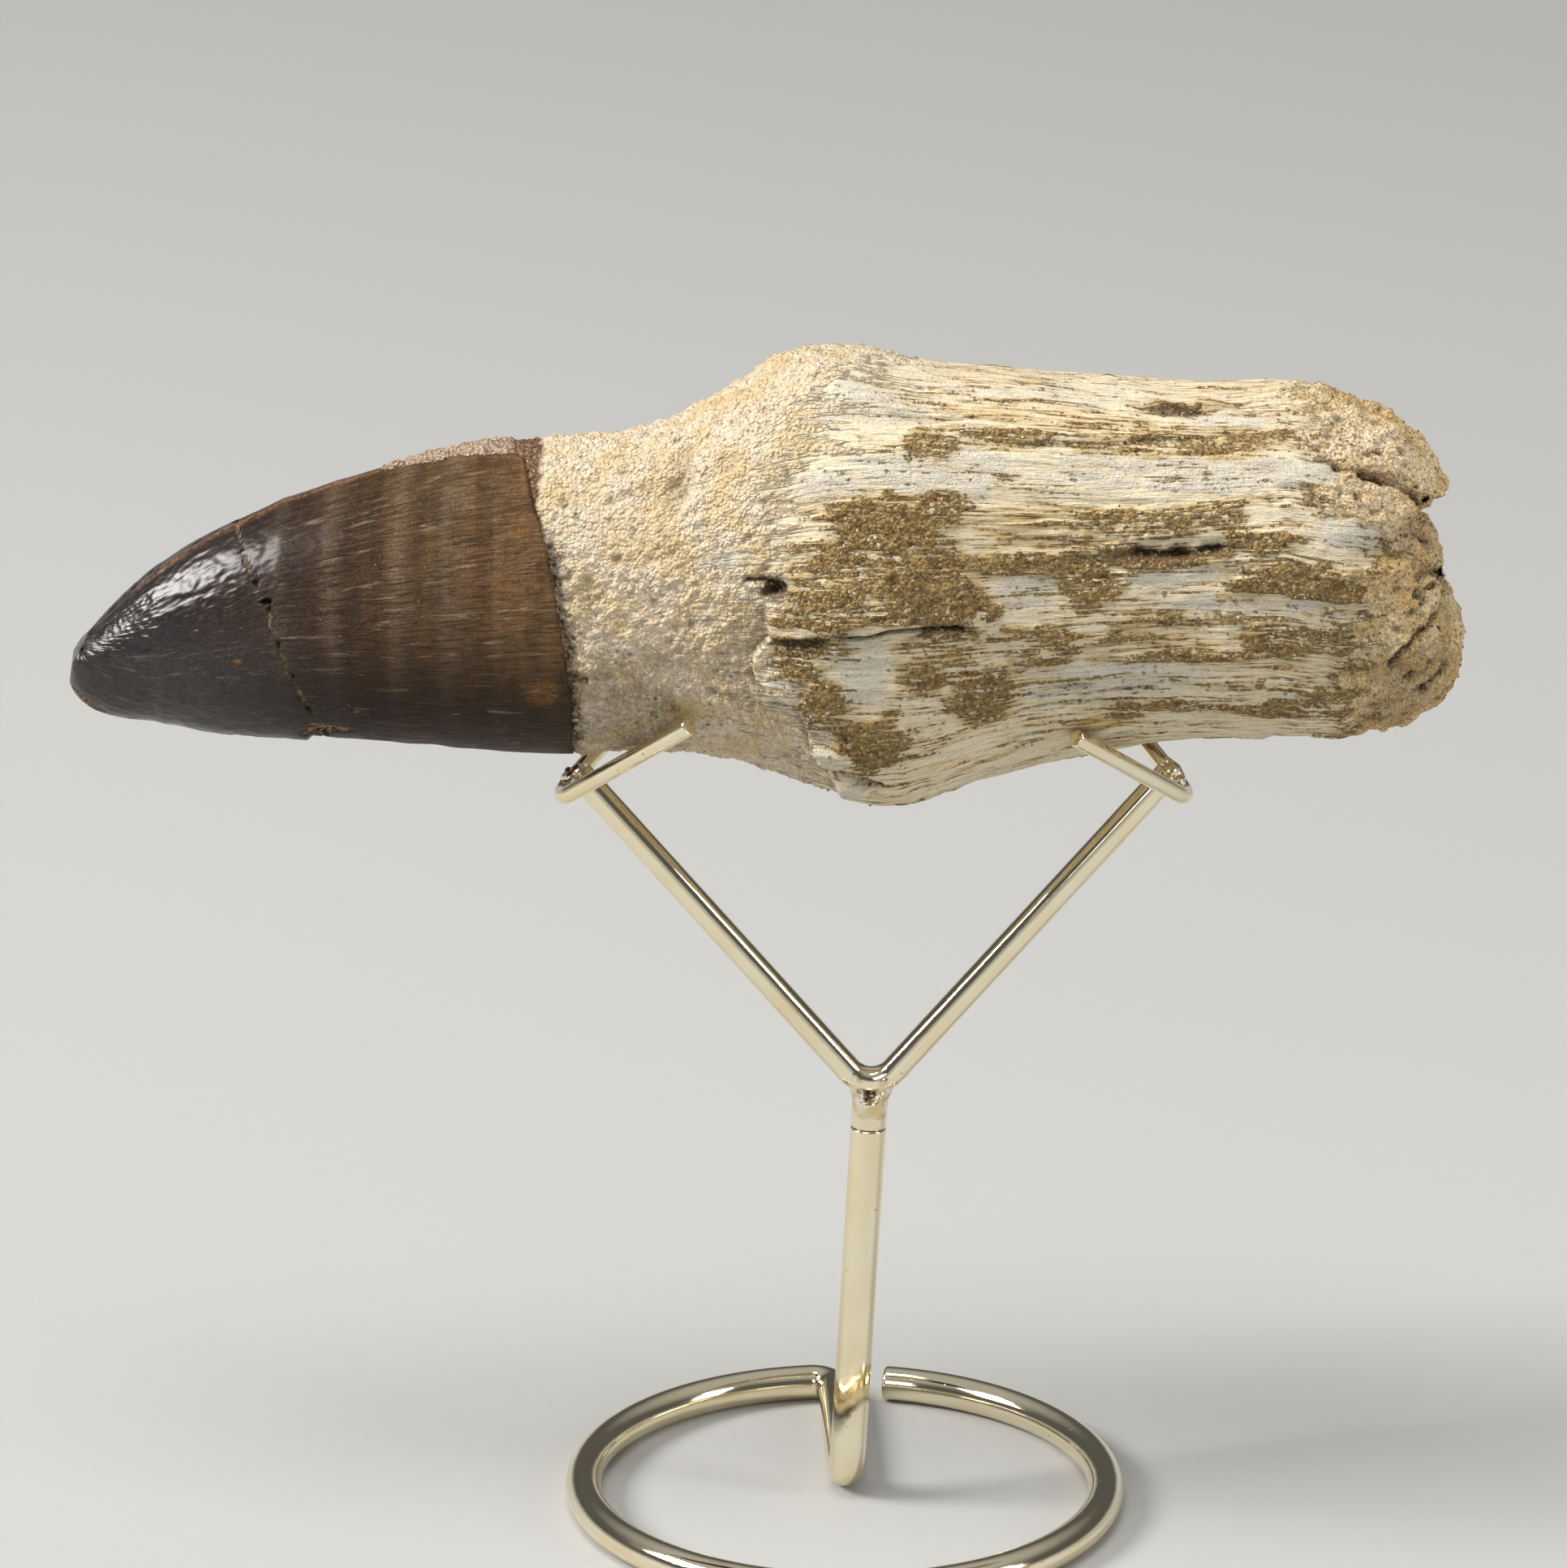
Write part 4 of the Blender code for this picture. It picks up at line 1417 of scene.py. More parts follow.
    # Each hollow or rise: its height, how much grime and painted shade lies in it, and then its
    # patch.
    hollows: Patches = (
        (-1.15, 0.3, 0.75, 12.6, 0.75, 0.6), (-0.7, 0.25, 0.15, 10.8, 0.55, 0.5),
        (-0.34, 0.12, 32.3, 75.5, 1.5, 0.7), (0.22, 0, 34.2, 79.5, 1.2, 0.6),
        (-0.6, 0.25, 51.6, 49, 1.7, 1.5), (-0.5, 0.3, 53.2, 21.5, 0.9, 0.9),
        (0.4, 0, 4.5, 90, 4.6, 4.5), (-0.7, 0.9, 51, 8, 0.55, 0.5),
        (-0.6, 0.8, 52.2, 10.5, 0.6, 0.35), (-0.6, 0.8, 51.3, 2.5, 0.45, 0.45),
        (-0.5, 0.7, 50, -30, 0.5, 0.5), (0.6, 0, 5.1, -47, 2, 1), (0.6, 0, 6.6, -60.5, 2, 0.9),
        (0.22, 0, 1.4, -25, 1.3, 1.5), (0.2, 0, 46.5, 33, 2.4, 1.2), (0.22, 0, 11.5, 7, 5.4, 2.4),
        (0.35, 0, 47.5, 66, 3, 2.6), (-0.28, 0.12, -9.5, 54, 1.6, 1.3),
        (-0.4, 0.22, -6.5, 62, 0.9, 2.4), (-0.32, 0.18, -7.2, 50, 0.8, 1.6),
        (-0.3, 0.15, -3, 58, 1.1, 0.8), (-0.45, 0.3, 22, 170, 2.2, 1.4),
        (-0.4, 0.2, -6, 190, 2, 0.7),
    )
    crusts: Patches = (
        (9, 30, 5, 3.2), (5.6, 24, 3.6, 2, 0.8), (13, 36, 2.6, 1.7, 0.8), (12.3, 8, 5.4, 2.6),
        (5, 6, 4.2, 2.2, 0.75), (8, 17, 5.5, 1.3, 0.8), (20, 19, 6.5, 0.85),
        (29.5, 21.5, 6.5, 0.9, 0.95), (38, 25, 3, 0.8, 0.8), (25, 10, 2.3, 1.7, 0.85),
        (25, 4.5, 1.2, 1, 0.6), (28.5, 32.5, 4.6, 1.2, 0.7), (23.5, 29, 2.6, 0.8, 0.5),
        (34.5, 36, 2.5, 0.9, 0.6), (41, 12.5, 5.2, 1.6), (37, 6, 2.5, 0.7, 0.6),
        (22, -13, 2.3, 1.7, 0.85), (17, -30, 2.7, 2.4, 0.8), (8.4, -42, 3, 2.6),
        (2.2, -14, 2, 2.2, 0.9), (4, -9, 2.6, 0.9, 0.8), (4.6, -29, 2.2, 2, 0.9),
        (39.5, -11, 2.8, 1.6, 0.7), (32, -19.4, 7.5, 0.5, 0.8), (40, -42, 8, 0.9, 0.8),
        (29.5, -40, 5.5, 0.6, 0.65), (12.4, 57, 2.4, 1.3, 0.8), (19, 60, 5, 0.7, 0.75),
        (32, 59, 7.5, 1, 0.7), (38, 62, 3.5, 1, 0.6), (13, -14, 3.2, 0.8, 0.55),
        (28, -11.5, 4.4, 0.5, 0.6), (19, -6, 4, 0.7, 0.6), (33, -3, 5.5, 0.5, 0.6),
        (12, -20, 2, 1.5, 0.6), (36, -31, 3.5, 0.5, 0.5), (44.5, -36, 3, 1, 0.7),
        (42, 70, 3.5, 2, 0.45), (43, 60, 2.5, 1.2, 0.5), (32, 76, 2.6, 1.1, 0.7),
        (43.5, 40, 2.2, 1.5, 0.7), (43, -6, 3, 1.6, 0.6), (27, 66, 5, 0.7, 0.4),
        (14, 128, 6, 3, 0.9), (32, 140, 5, 2, 0.8), (4, 172, 5, 4, 1), (24, 184, 7, 1.8, 0.9),
        (38, 196, 5, 2.2, 0.8), (12, 216, 5, 3, 0.9), (28, 232, 8, 1.3, 0.8),
        (16, 250, 5, 1.5, 0.6), (36, 254, 6, 1, 0.7),
    )
    chalks: Patches = (
        (18, 82, 13, 4.5, 0.45), (39, 84, 5, 4, 0.45), (13.5, 48, 6, 2), (36, 49.5, 9, 1.5),
        (36, 70, 3.2, 1.7, 0.9), (8, 68, 4.5, 2, 0.8), (20, 11, 3.2, 1.6, 0.9),
        (7.3, -16, 2.3, 3.4), (26.5, -27, 8.5, 2, 0.8), (45.5, 32, 3, 1.4),
        (42.5, 1.5, 2.8, 1.5, 0.9), (36, 2, 5, 1.4, 0.8), (32, 14.5, 4, 0.9, 0.8),
        (1.4, -26, 1.6, 1.6), (5.1, -47, 2.2, 1), (6.6, -61, 2.2, 0.9), (-3.6, 25, 2.2, 0.9, 0.8),
        (-8, 8, 1.5, 1, 0.5), (26, 50, 5, 1.4, 0.7), (5, 44, 3, 1.2, 0.7), (16, 150, 6, 2.4, 0.9),
        (34, 166, 7, 2.2, 0.9), (22, 205, 6, 1.6, 0.9), (40, 222, 4, 2, 0.8),
        (20, 238, 6, 1.4, 0.7),
    )
    ochres: Patches = (
        (22, 68, 8, 1.6), (33, 60, 9, 1.8, 0.9), (22, 31, 8, 1.8, 0.9), (10, 88, 14, 3.5, 0.6),
        (38, 84, 8, 3, 0.8), (-4, 56, 5, 3, 0.6), (-4.9, -44.5, 2, 1.3, 0.7),
        (24.9, -49, 2.6, 1.1, 1), (14, 15, 5, 1.2, 0.5), (30, -14, 7, 1.5, 0.7),
        (20, -22, 4, 1.2, 0.6), (38, -22, 7, 1.3, 0.6), (20, 118, 14, 3, 0.8),
        (30, 190, 12, 3, 0.7), (18, 225, 10, 3, 0.6),
    )
    rusts: Patches = (
        (31.8, 75, 1.9, 0.9, 0.7), (30.5, 22.3, 3.2, 0.7, 0.45), (0.6, 12.6, 1.2, 1.1, 0.8),
        (25.3, -51.5, 1.8, 0.6, 0.6), (38.5, 51, 1.2, 0.5, 0.2), (54.2, -2, 1.2, 1.2, 0.4),
        (40.8, 44, 1.5, 0.4, 0.5), (53.6, 30, 1.2, 1, 0.35),
    )
    pales: Patches = (
        (46, 68, 5.5, 3.4, 0.9), (45.5, 44, 3, 1.6, 0.7), (47.5, 31, 2.6, 1.2, 0.7),
        (46.5, -12, 2.2, 1.2, 0.5), (47, 170, 4, 3, 0.7),
    )
    # Painted shade, with some grime, low on the front of the neck and of the broken end.
    underside_shades: Patches = ((-11, -46, 4.5, 5.5, 0.4), (50, -40, 3.5, 4.5, 0.32))
    # Painted reflection of the gold prongs on the bone where they touch it.
    prong_reflections: Patches = ((-5.6, -43, 2.6, 1, 0.8), (26.2, -48, 2.8, 1, 0.8))

    def build(self, skin: ToothSkin, edge: EnamelEdge, finish: BoneFinish) -> list[Object]:
        """Build the neck and the root and dress them.

        Args:
            skin: The tooth's plain skin.
            edge: Where the enamel ends.
            finish: The bone's finish.

        Returns:
            The neck's piece and the root's piece.
        """
        look = finish.material()
        split = skin.travel_at(self.split_x)
        neck = np.linspace(skin.travel_at(self.start_x), split, self.rows)
        root = np.linspace(split, skin.whole, self.rows)
        places, shape = skin.net_of(np.concatenate([neck, root[1:]]), self.columns)
        self._break_end(places, shape)
        rise, marks = self._worked(places, edge)
        points = places.points + places.outward * rise[:, None]
        normals = net_normals(points.reshape(*shape, 3), places.outward.reshape(*shape, 3))
        seam = (self.rows - 1) * self.columns
        spans = (
            ("sandy_neck", slice(0, seam + self.columns), (True, True)),
            ("bone_root", slice(seam, None), (True, False)),
        )
        pieces = []
        for name, span, capped in spans:
            own = {key: values[span] for key, values in marks.items()}
            net = (self.rows, self.columns)
            piece = net_piece(
                name, points[span], net, own, places.flow[span], look, capped, normals[span]
            )
            pieces.append(finished(piece, "mosasaur_tooth"))
        return pieces

    def _break_end(self, places: Places, shape: tuple[int, int]) -> None:
        """Pull the root's end in to its broken outline, and turn its normals to suit.

        Args:
            places: Points of the skin, which are moved.
            shape: The net's rows and columns.
        """
        points = places.points
        weather = Weather(self.end_seed)
        height = points[:, 2] + weather.rough(points, 2.2, 2) * 0.5 + np.abs(points[:, 1]) * 0.05
        steps = np.arange(*self.end_heights)
        beyond = points[:, 0] > self.end_from
        reach = np.full(len(steps), self.end_from + 0.1)
        slot = (points[:, 2] - steps[0]) / self.end_heights[2] + 0.5
        slot = np.clip(slot.astype(int), 0, len(steps) - 1)
        np.maximum.at(reach, slot[beyond], points[beyond, 0])
        reach = np.convolve(np.pad(reach, 2, mode="edge"), np.ones(5) / 5, mode="valid")
        wanted = np.interp(height, *np.array(sorted(self.end_reach)).T)
        share = (wanted - self.end_from) / (np.interp(points[:, 2], steps, reach) - self.end_from)
        share = 1.0 + (np.clip(share, 0.6, 1.15) - 1.0) * eased(points[:, 0], self.end_from, 48.0)
        past = np.maximum(points[:, 0] - self.end_from, 0.0)
        points[:, 0] += past * (share - 1.0)
        net = (*shape, 3)
        places.outward = net_normals(points.reshape(net), places.outward.reshape(net))

    def _worked(self, places: Places, edge: EnamelEdge) -> tuple[Numbers, Marks]:
        """Work the bone's whole skin.

        Args:
            places: Points of the skin.
            edge: Where the enamel ends.

        Returns:
            The relief's height, and the marks that the finish reads.
        """
        weather = Weather(self.seed)
        coarse = weather.rough(places.points, 1.6, 4, 0.6)
        streak = weather.rough(places.flow, (5.0, 0.55, 0.55), 3, 0.6)
        ragged = streak * 0.55 + coarse * 0.45
        marks = self._regions(places, weather, ragged, coarse)
        rise = self._relief(places, weather, marks, streak)
        rise += self._ledges(places, coarse, marks)
        rise += self._enamel_border(places, edge, weather, marks)
        marks["dirt"] = np.clip(marks["dirt"], 0.0, 1.0)
        clear = 1.0 - eased(edge.inside(places), -0.3, 0.1)
        grit = marks["sandy"] * 0.8 + marks["cream"] * 0.45 + marks["end"] * 0.3
        marks["grit"] = np.clip(grit, 0.0, 1.0) * clear
        return rise, marks

    def _regions(
        self, places: Places, weather: Weather, ragged: Numbers, coarse: Numbers
    ) -> Marks:
        """Lay out the neck, the crust, the stains and the chalky bone, the painted shade low on the
        front and the painted reflection of the prongs.

        Args:
            places: Points of the skin.
            weather: Its noise.
            ragged: Noise for long edges.
            coarse: Noise for round edges.

        Returns:
            The marks.
        """
        along, bearings = places.along, places.bearings
        neck = around(self.neck_end, bearings) + ragged * 3.2
        cream = eased(along, neck + 2.2, neck - 2.2)
        past_end = along - around(self.end_crust, bearings) + coarse * 1.5 + ragged * 4.5
        crust = patches(self.crusts, places, ragged * 1.15)
        behind = eased(np.abs(turned(bearings - self.front_bearing)), 85.0, 110.0)
        scattered = weather.rough(places.flow, (9.0, 2.2, 2.2), 3, 0.6) + ragged * 0.5
        crust = np.maximum(crust, behind * eased(scattered, 0.22, 0.45) * 0.8)
        streaks = weather.rough(places.flow, (6.0, 0.7, 0.7), 2)
        crust = np.maximum(crust, eased(streaks, 0.42, 0.62) * 0.55) * (1.0 - cream * 0.55)
        crust = np.maximum(crust, eased(past_end, -3.0, 1.6))
        chalk = patches(self.chalks, places, ragged * 0.9)
        high = eased(turned(bearings), 28.0, 50.0) * eased(turned(bearings), 150.0, 120.0)
        return {
            "cream": cream * (1.0 - chalk * 0.6),
            "sheet": np.clip((neck - along) / 4.5, -1.5, 2.8) - chalk * 0.7,
            "sandy": np.clip(crust - chalk * 0.25, 0.0, 1.0),
            "chalk": np.clip(chalk - crust * 0.4, 0.0, 1.0),
            "ochre": patches(self.ochres, places, ragged),
            "rust": patches(self.rusts, places, ragged * 0.6),
            # Painted reflection of the gold prongs.
            "glow": patches(self.prong_reflections, places, coarse * 0.4),
            "worn": np.zeros(len(along)),
            # Painted shade, with some grime, low on the front.
            "dirt": patches(self.underside_shades, places, coarse * 0.8),
            "end": eased(past_end + high * 3.5, -1.5, 3.0),
            "pale": patches(self.pales, places, ragged),
        }

    def _relief(
        self, places: Places, weather: Weather, marks: Marks, streak: Numbers
    ) -> Numbers:
        """Raise lumps, fibres and sand, and sink pits.

        Args:
            places: Points of the skin.
            weather: Its noise.
            marks: Marks, to which grime and painted shade in the pits and holes are added.
            streak: Noise that runs with the fibres.

        Returns:
            The relief's height.
        """
        points, flow = places.points, places.flow
        cream, crust, end = marks["cream"], marks["sandy"], marks["end"]
        sandy = np.clip(cream + crust + end, 0.0, 1.0)
        rise = weather.rough(points, 6.0, 2) * 0.2 + weather.rough(points, 2.0, 2) * 0.12
        fibres = streak * 0.1 + weather.rough(flow, (9.0, 1.5, 1.5), 2) * 0.12
        grooves = eased(weather.soft(flow, (7.0, 0.9, 0.9)), 0.45, 0.85)
        rise += (1.0 - sandy) * (fibres - 0.14 * grooves)
        away, tone = weather.grains(points, self.grain_size)
        lumps = (1.0 - away) * 0.13 * (0.5 + tone) + weather.rough(points, 0.9, 3, 0.65) * 0.11
        rise += sandy * lumps * 1.7
        clod_away, clod_tone = weather.grains(points + 3.0, self.clod_size)
        clods = np.clip(0.75 - clod_away, 0.0, 1.0) * eased(clod_tone, 0.25, 0.85)
        rise += (cream + end * 0.5) * clods * self.clod_height
        pit_away, pit_tone = weather.grains(points, self.pit_size)
        pits = eased(pit_away, 0.34, 0.1) * eased(pit_tone, 0.35, 0.75)
        rise -= pits * sandy * self.pit_depth
        # Painted shade in the pits.
        marks["dirt"] += pits * sandy * 0.35
        rise += self.crust_height * eased(crust, 0.25, 0.7) * (1.0 - end)
        rise += end * (
            weather.rough(points, 4.2, 2) * 0.45
            + weather.rough(points + 40.0, 1.5, 3, 0.65) * 0.45
            - 0.1
        )
        hole_away, hole_tone = weather.grains(points + 9.0, self.hole_size)
        holes = eased(hole_away, 0.36, 0.12) * eased(hole_tone, 0.45, 0.8) * end
        # Painted shade in the holes of the broken end.
        marks["dirt"] += holes * 0.75
        return rise - holes * self.hole_depth

    def _ledges(self, places: Places, coarse: Numbers, marks: Marks) -> Numbers:
        """Cut the ledges, clefts, pits and lobes.

        Args:
            places: Points of the skin.
            coarse: Noise that makes them uneven.
            marks: Marks, to which grime and painted shade in the clefts and hollows and under the
                ledges are added.

        Returns:
            Their height.
        """
        past = places.along - around(self.ledge_x, places.bearings) + coarse * 0.45
        height = around(self.ledge_height, places.bearings)
        rise = height * (eased(past, -0.35, 0.4) - 0.5) * np.exp(-np.abs(past) / self.ledge_fade)
        # Painted shade at the foot of each ledge.
        marks["dirt"] += 0.35 * height * np.exp(-(((past + 0.45) / 0.45) ** 2))
        shelf_x = [place[0] for place in self.shelf]
        shelf = np.interp(places.along, shelf_x, [place[1] for place in self.shelf])
        above = np.radians(turned(places.bearings - shelf)) * places.girth + coarse * 0.2
        window = eased(places.along, shelf_x[0] - 0.6, 1.2) * eased(places.along, 18.0, 13.5)
        step = (eased(above, -0.1, 0.22) - 0.5) * np.exp(-np.abs(above) / 2.4)
        rise += self.shelf_height * window * step
        for row in self.crevices:
            cut, dirt = Groove(*row).cut(places, coarse)
            rise += cut
            marks["dirt"] += dirt
        for lift, dirt, *patch in self.hollows:
            shape = Blot(*patch).on(places, coarse * 0.35)
            rise += lift * shape
            marks["dirt"] += dirt * shape**2
        return rise

    def _enamel_border(
        self, places: Places, edge: EnamelEdge, weather: Weather, marks: Marks
    ) -> Numbers:
        """Sink the bone under the enamel, mark the worn strip and brown rim beside it, and lay
        painted shade with grime in the cleft along its front edge.

        Args:
            places: Points of the skin.
            edge: Where the enamel ends.
            weather: Its noise.
            marks: Marks to change.

        Returns:
            The height that this adds.
        """
        inside = edge.inside(places)
        covered = eased(inside, -0.05, 0.3)
        bearing = turned(places.bearings)
        high = eased(bearing, 40.0, 52.0) * eased(bearing, 150.0, 120.0)
        rim_end = self.rim_end_x + 0.35 * weather.soft(places.points, 0.9)
        rim = high * eased(places.along, rim_end + 0.25, rim_end - 0.15)
        top = eased(bearing, 79.0, 82.0) * eased(bearing, 122.0, 112.0)
        worn = rim * top * eased(places.along, -19.6, -20.6)
        low = 1.0 - eased(bearing, 34.0, 48.0)
        marks["worn"] = np.maximum(marks["worn"], worn)
        marks["rust"] = np.maximum(marks["rust"], np.clip(rim - worn, 0.0, 1.0))
        keep = 1.0 - np.clip(rim + covered, 0.0, 1.0)
        for key in ("cream", "sandy", "chalk"):
            marks[key] = marks[key] * keep
        grit = weather.rough(places.points, 0.8, 3, 0.6)
        width = 0.85 + 0.75 * grit
        low = low * eased(bearing, -88.0, -62.0)
        beside = np.exp(-((np.minimum(inside, 0.0) / width) ** 2)) * (1.0 - covered) * low
        # Painted shade with grime in the cleft beside the enamel's front edge.
        marks["dirt"] = np.maximum(marks["dirt"], beside * (0.85 + 0.5 * grit))
        rise = -self.under_enamel * covered - self.rim_cleft * beside
        rise = rise - self.rim_depth * rim * (1.0 - worn)
        return rise + worn * (self.worn_height + 0.1 * grit)


# ---- Geometry Nodes ----


class Jig(Wiring):
    """A geometry node tree with named inputs, built a node at a time."""

    def __init__(self, name: str, inputs: dict[str, str]) -> None:
        """Make the tree, with a geometry in and out.

        Args:
            name: Its name.
            inputs: The socket type of each named input.
        """
        super().__init__(bpy.data.node_groups.new(name, "GeometryNodeTree"))
        face = self.tree.interface
        face.new_socket("Geometry", socket_type="NodeSocketGeometry")
        face.new_socket("Geometry", in_out="OUTPUT", socket_type="NodeSocketGeometry")
        self.keys = {
            label: face.new_socket(label, socket_type=f"NodeSocket{kind}").identifier
            for label, kind in inputs.items()
        }
        self.given = self.add("NodeGroupInput", {}, {}).node.outputs

    def named(self, name: str) -> NodeSocket:
        """Return a named number kept on the geometry."""
        return self.add("GeometryNodeInputNamedAttribute", {"data_type": "FLOAT"}, {"Name": name})

    def close(self, geometry: NodeSocket, finish: str) -> None:
        """End the tree with real geometry that wears its material.

        Args:
            geometry: The geometry.
            finish: The input that gives the material.
        """
        real = self.add("GeometryNodeRealizeInstances", {}, {0: geometry})
        inputs = {"Geometry": real, "Material": self.given[finish]}
        dressed = self.add("GeometryNodeSetMaterial", {}, inputs)
        self.add("NodeGroupOutput", {}, {0: dressed})

    def grow(self, name: str, base: Object, values: dict[str, object]) -> Mesh:
        """Return the plain mesh that the tree makes of an object.

        Args:
            name: The mesh's name.
            base: The object that the tree starts from.
            values: A value for each named input.

        Returns:
            The mesh.
        """
        modifier = base.modifiers.new(self.tree.name, "NODES")
        modifier.node_group = self.tree
        for label, value in values.items():
            modifier[self.keys[label]] = value
        base.update_tag()
        graph = bpy.context.evaluated_depsgraph_get()
        mesh = bpy.data.meshes.new_from_object(base.evaluated_get(graph))
        mesh.name = name
        base.modifiers.remove(modifier)
        return mesh


@dataclass
class LooseSand:
    """Grains scattered where the bone is sandy, each turned, stretched and toned by chance."""

    per_mm2: float = 2.3
    seed: int = 7
    smallest: float = 0.055
    largest: float = 0.155

    def __post_init__(self) -> None:
        """Build the scattering tree."""
        kinds = {
            "Grains per Square Metre": "Float",
            "Smallest": "Float",
            "Largest": "Float",
            "Seed": "Int",
            "Finish": "Material",
        }
        j = Jig("sand_scatter", kinds)
        inputs = {0: j.named("grit"), 1: j.given["Grains per Square Metre"]}
        density = j.add("ShaderNodeMath", {"operation": "MULTIPLY"}, inputs)
        inputs = {"Mesh": j.given["Geometry"], "Density": density, "Seed": j.given["Seed"]}
        points = j.add("GeometryNodeDistributePointsOnFaces", {}, inputs)
        ball = j.add("GeometryNodeMeshIcoSphere", {}, {"Radius": 1.0, "Subdivisions": 1})
        vector = {"data_type": "FLOAT_VECTOR"}
        turn = j.add("FunctionNodeRandomValue", vector, {0: (0.0,) * 3, 1: (math.tau,) * 3, 8: 3})
        uneven = j.add("FunctionNodeRandomValue", vector, {0: (0.55,) * 3, 1: (1.15,) * 3, 8: 4})
        inputs = {2: j.given["Smallest"], 3: j.given["Largest"], 8: 5}
        size = j.add("FunctionNodeRandomValue", {"data_type": "FLOAT"}, inputs, 1)
        scale = j.add("ShaderNodeVectorMath", {"operation": "SCALE"}, {0: uneven, 3: size})
        inputs = {"Points": points, "Instance": ball, "Rotation": turn, "Scale": scale}
        grains = j.add("GeometryNodeInstanceOnPoints", {}, inputs)
        tone = j.add("FunctionNodeRandomValue", {"data_type": "FLOAT"}, {2: 0.0, 3: 1.0, 8: 6}, 1)
        settings = {"data_type": "FLOAT", "domain": "INSTANCE"}
        inputs = {"Geometry": grains, "Name": "grain_tone", "Value": tone}
        j.close(j.add("GeometryNodeStoreNamedAttribute", settings, inputs), "Finish")
        self.jig = j

    def build(self, bone: Object, finish: Material) -> Object:
        """Scatter grains over a piece of bone.

        Args:
            bone: The piece, whose "grit" says how thickly grains lie.
            finish: The grains' material.

        Returns:
            The grains' piece.
        """
        values = {
            "Grains per Square Metre": self.per_mm2 / MM**2,
            "Smallest": self.smallest * MM,
            "Largest": self.largest * MM,
            "Seed": self.seed,
            "Finish": finish,
        }
        mesh = self.jig.grow(f"{bone.name}_grains", bone, values)
        flat = np.zeros(len(mesh.vertices) * 3, np.float32)
        mesh.vertices.foreach_get("co", flat)
        held = inside_box(flat.reshape(-1, 3) / MM) * MM
        mesh.vertices.foreach_set("co", held.astype(np.float32).ravel())
        mesh.shade_flat()
        return finished(link(mesh.name, mesh), "mosasaur_tooth")


# ---- The stand ----


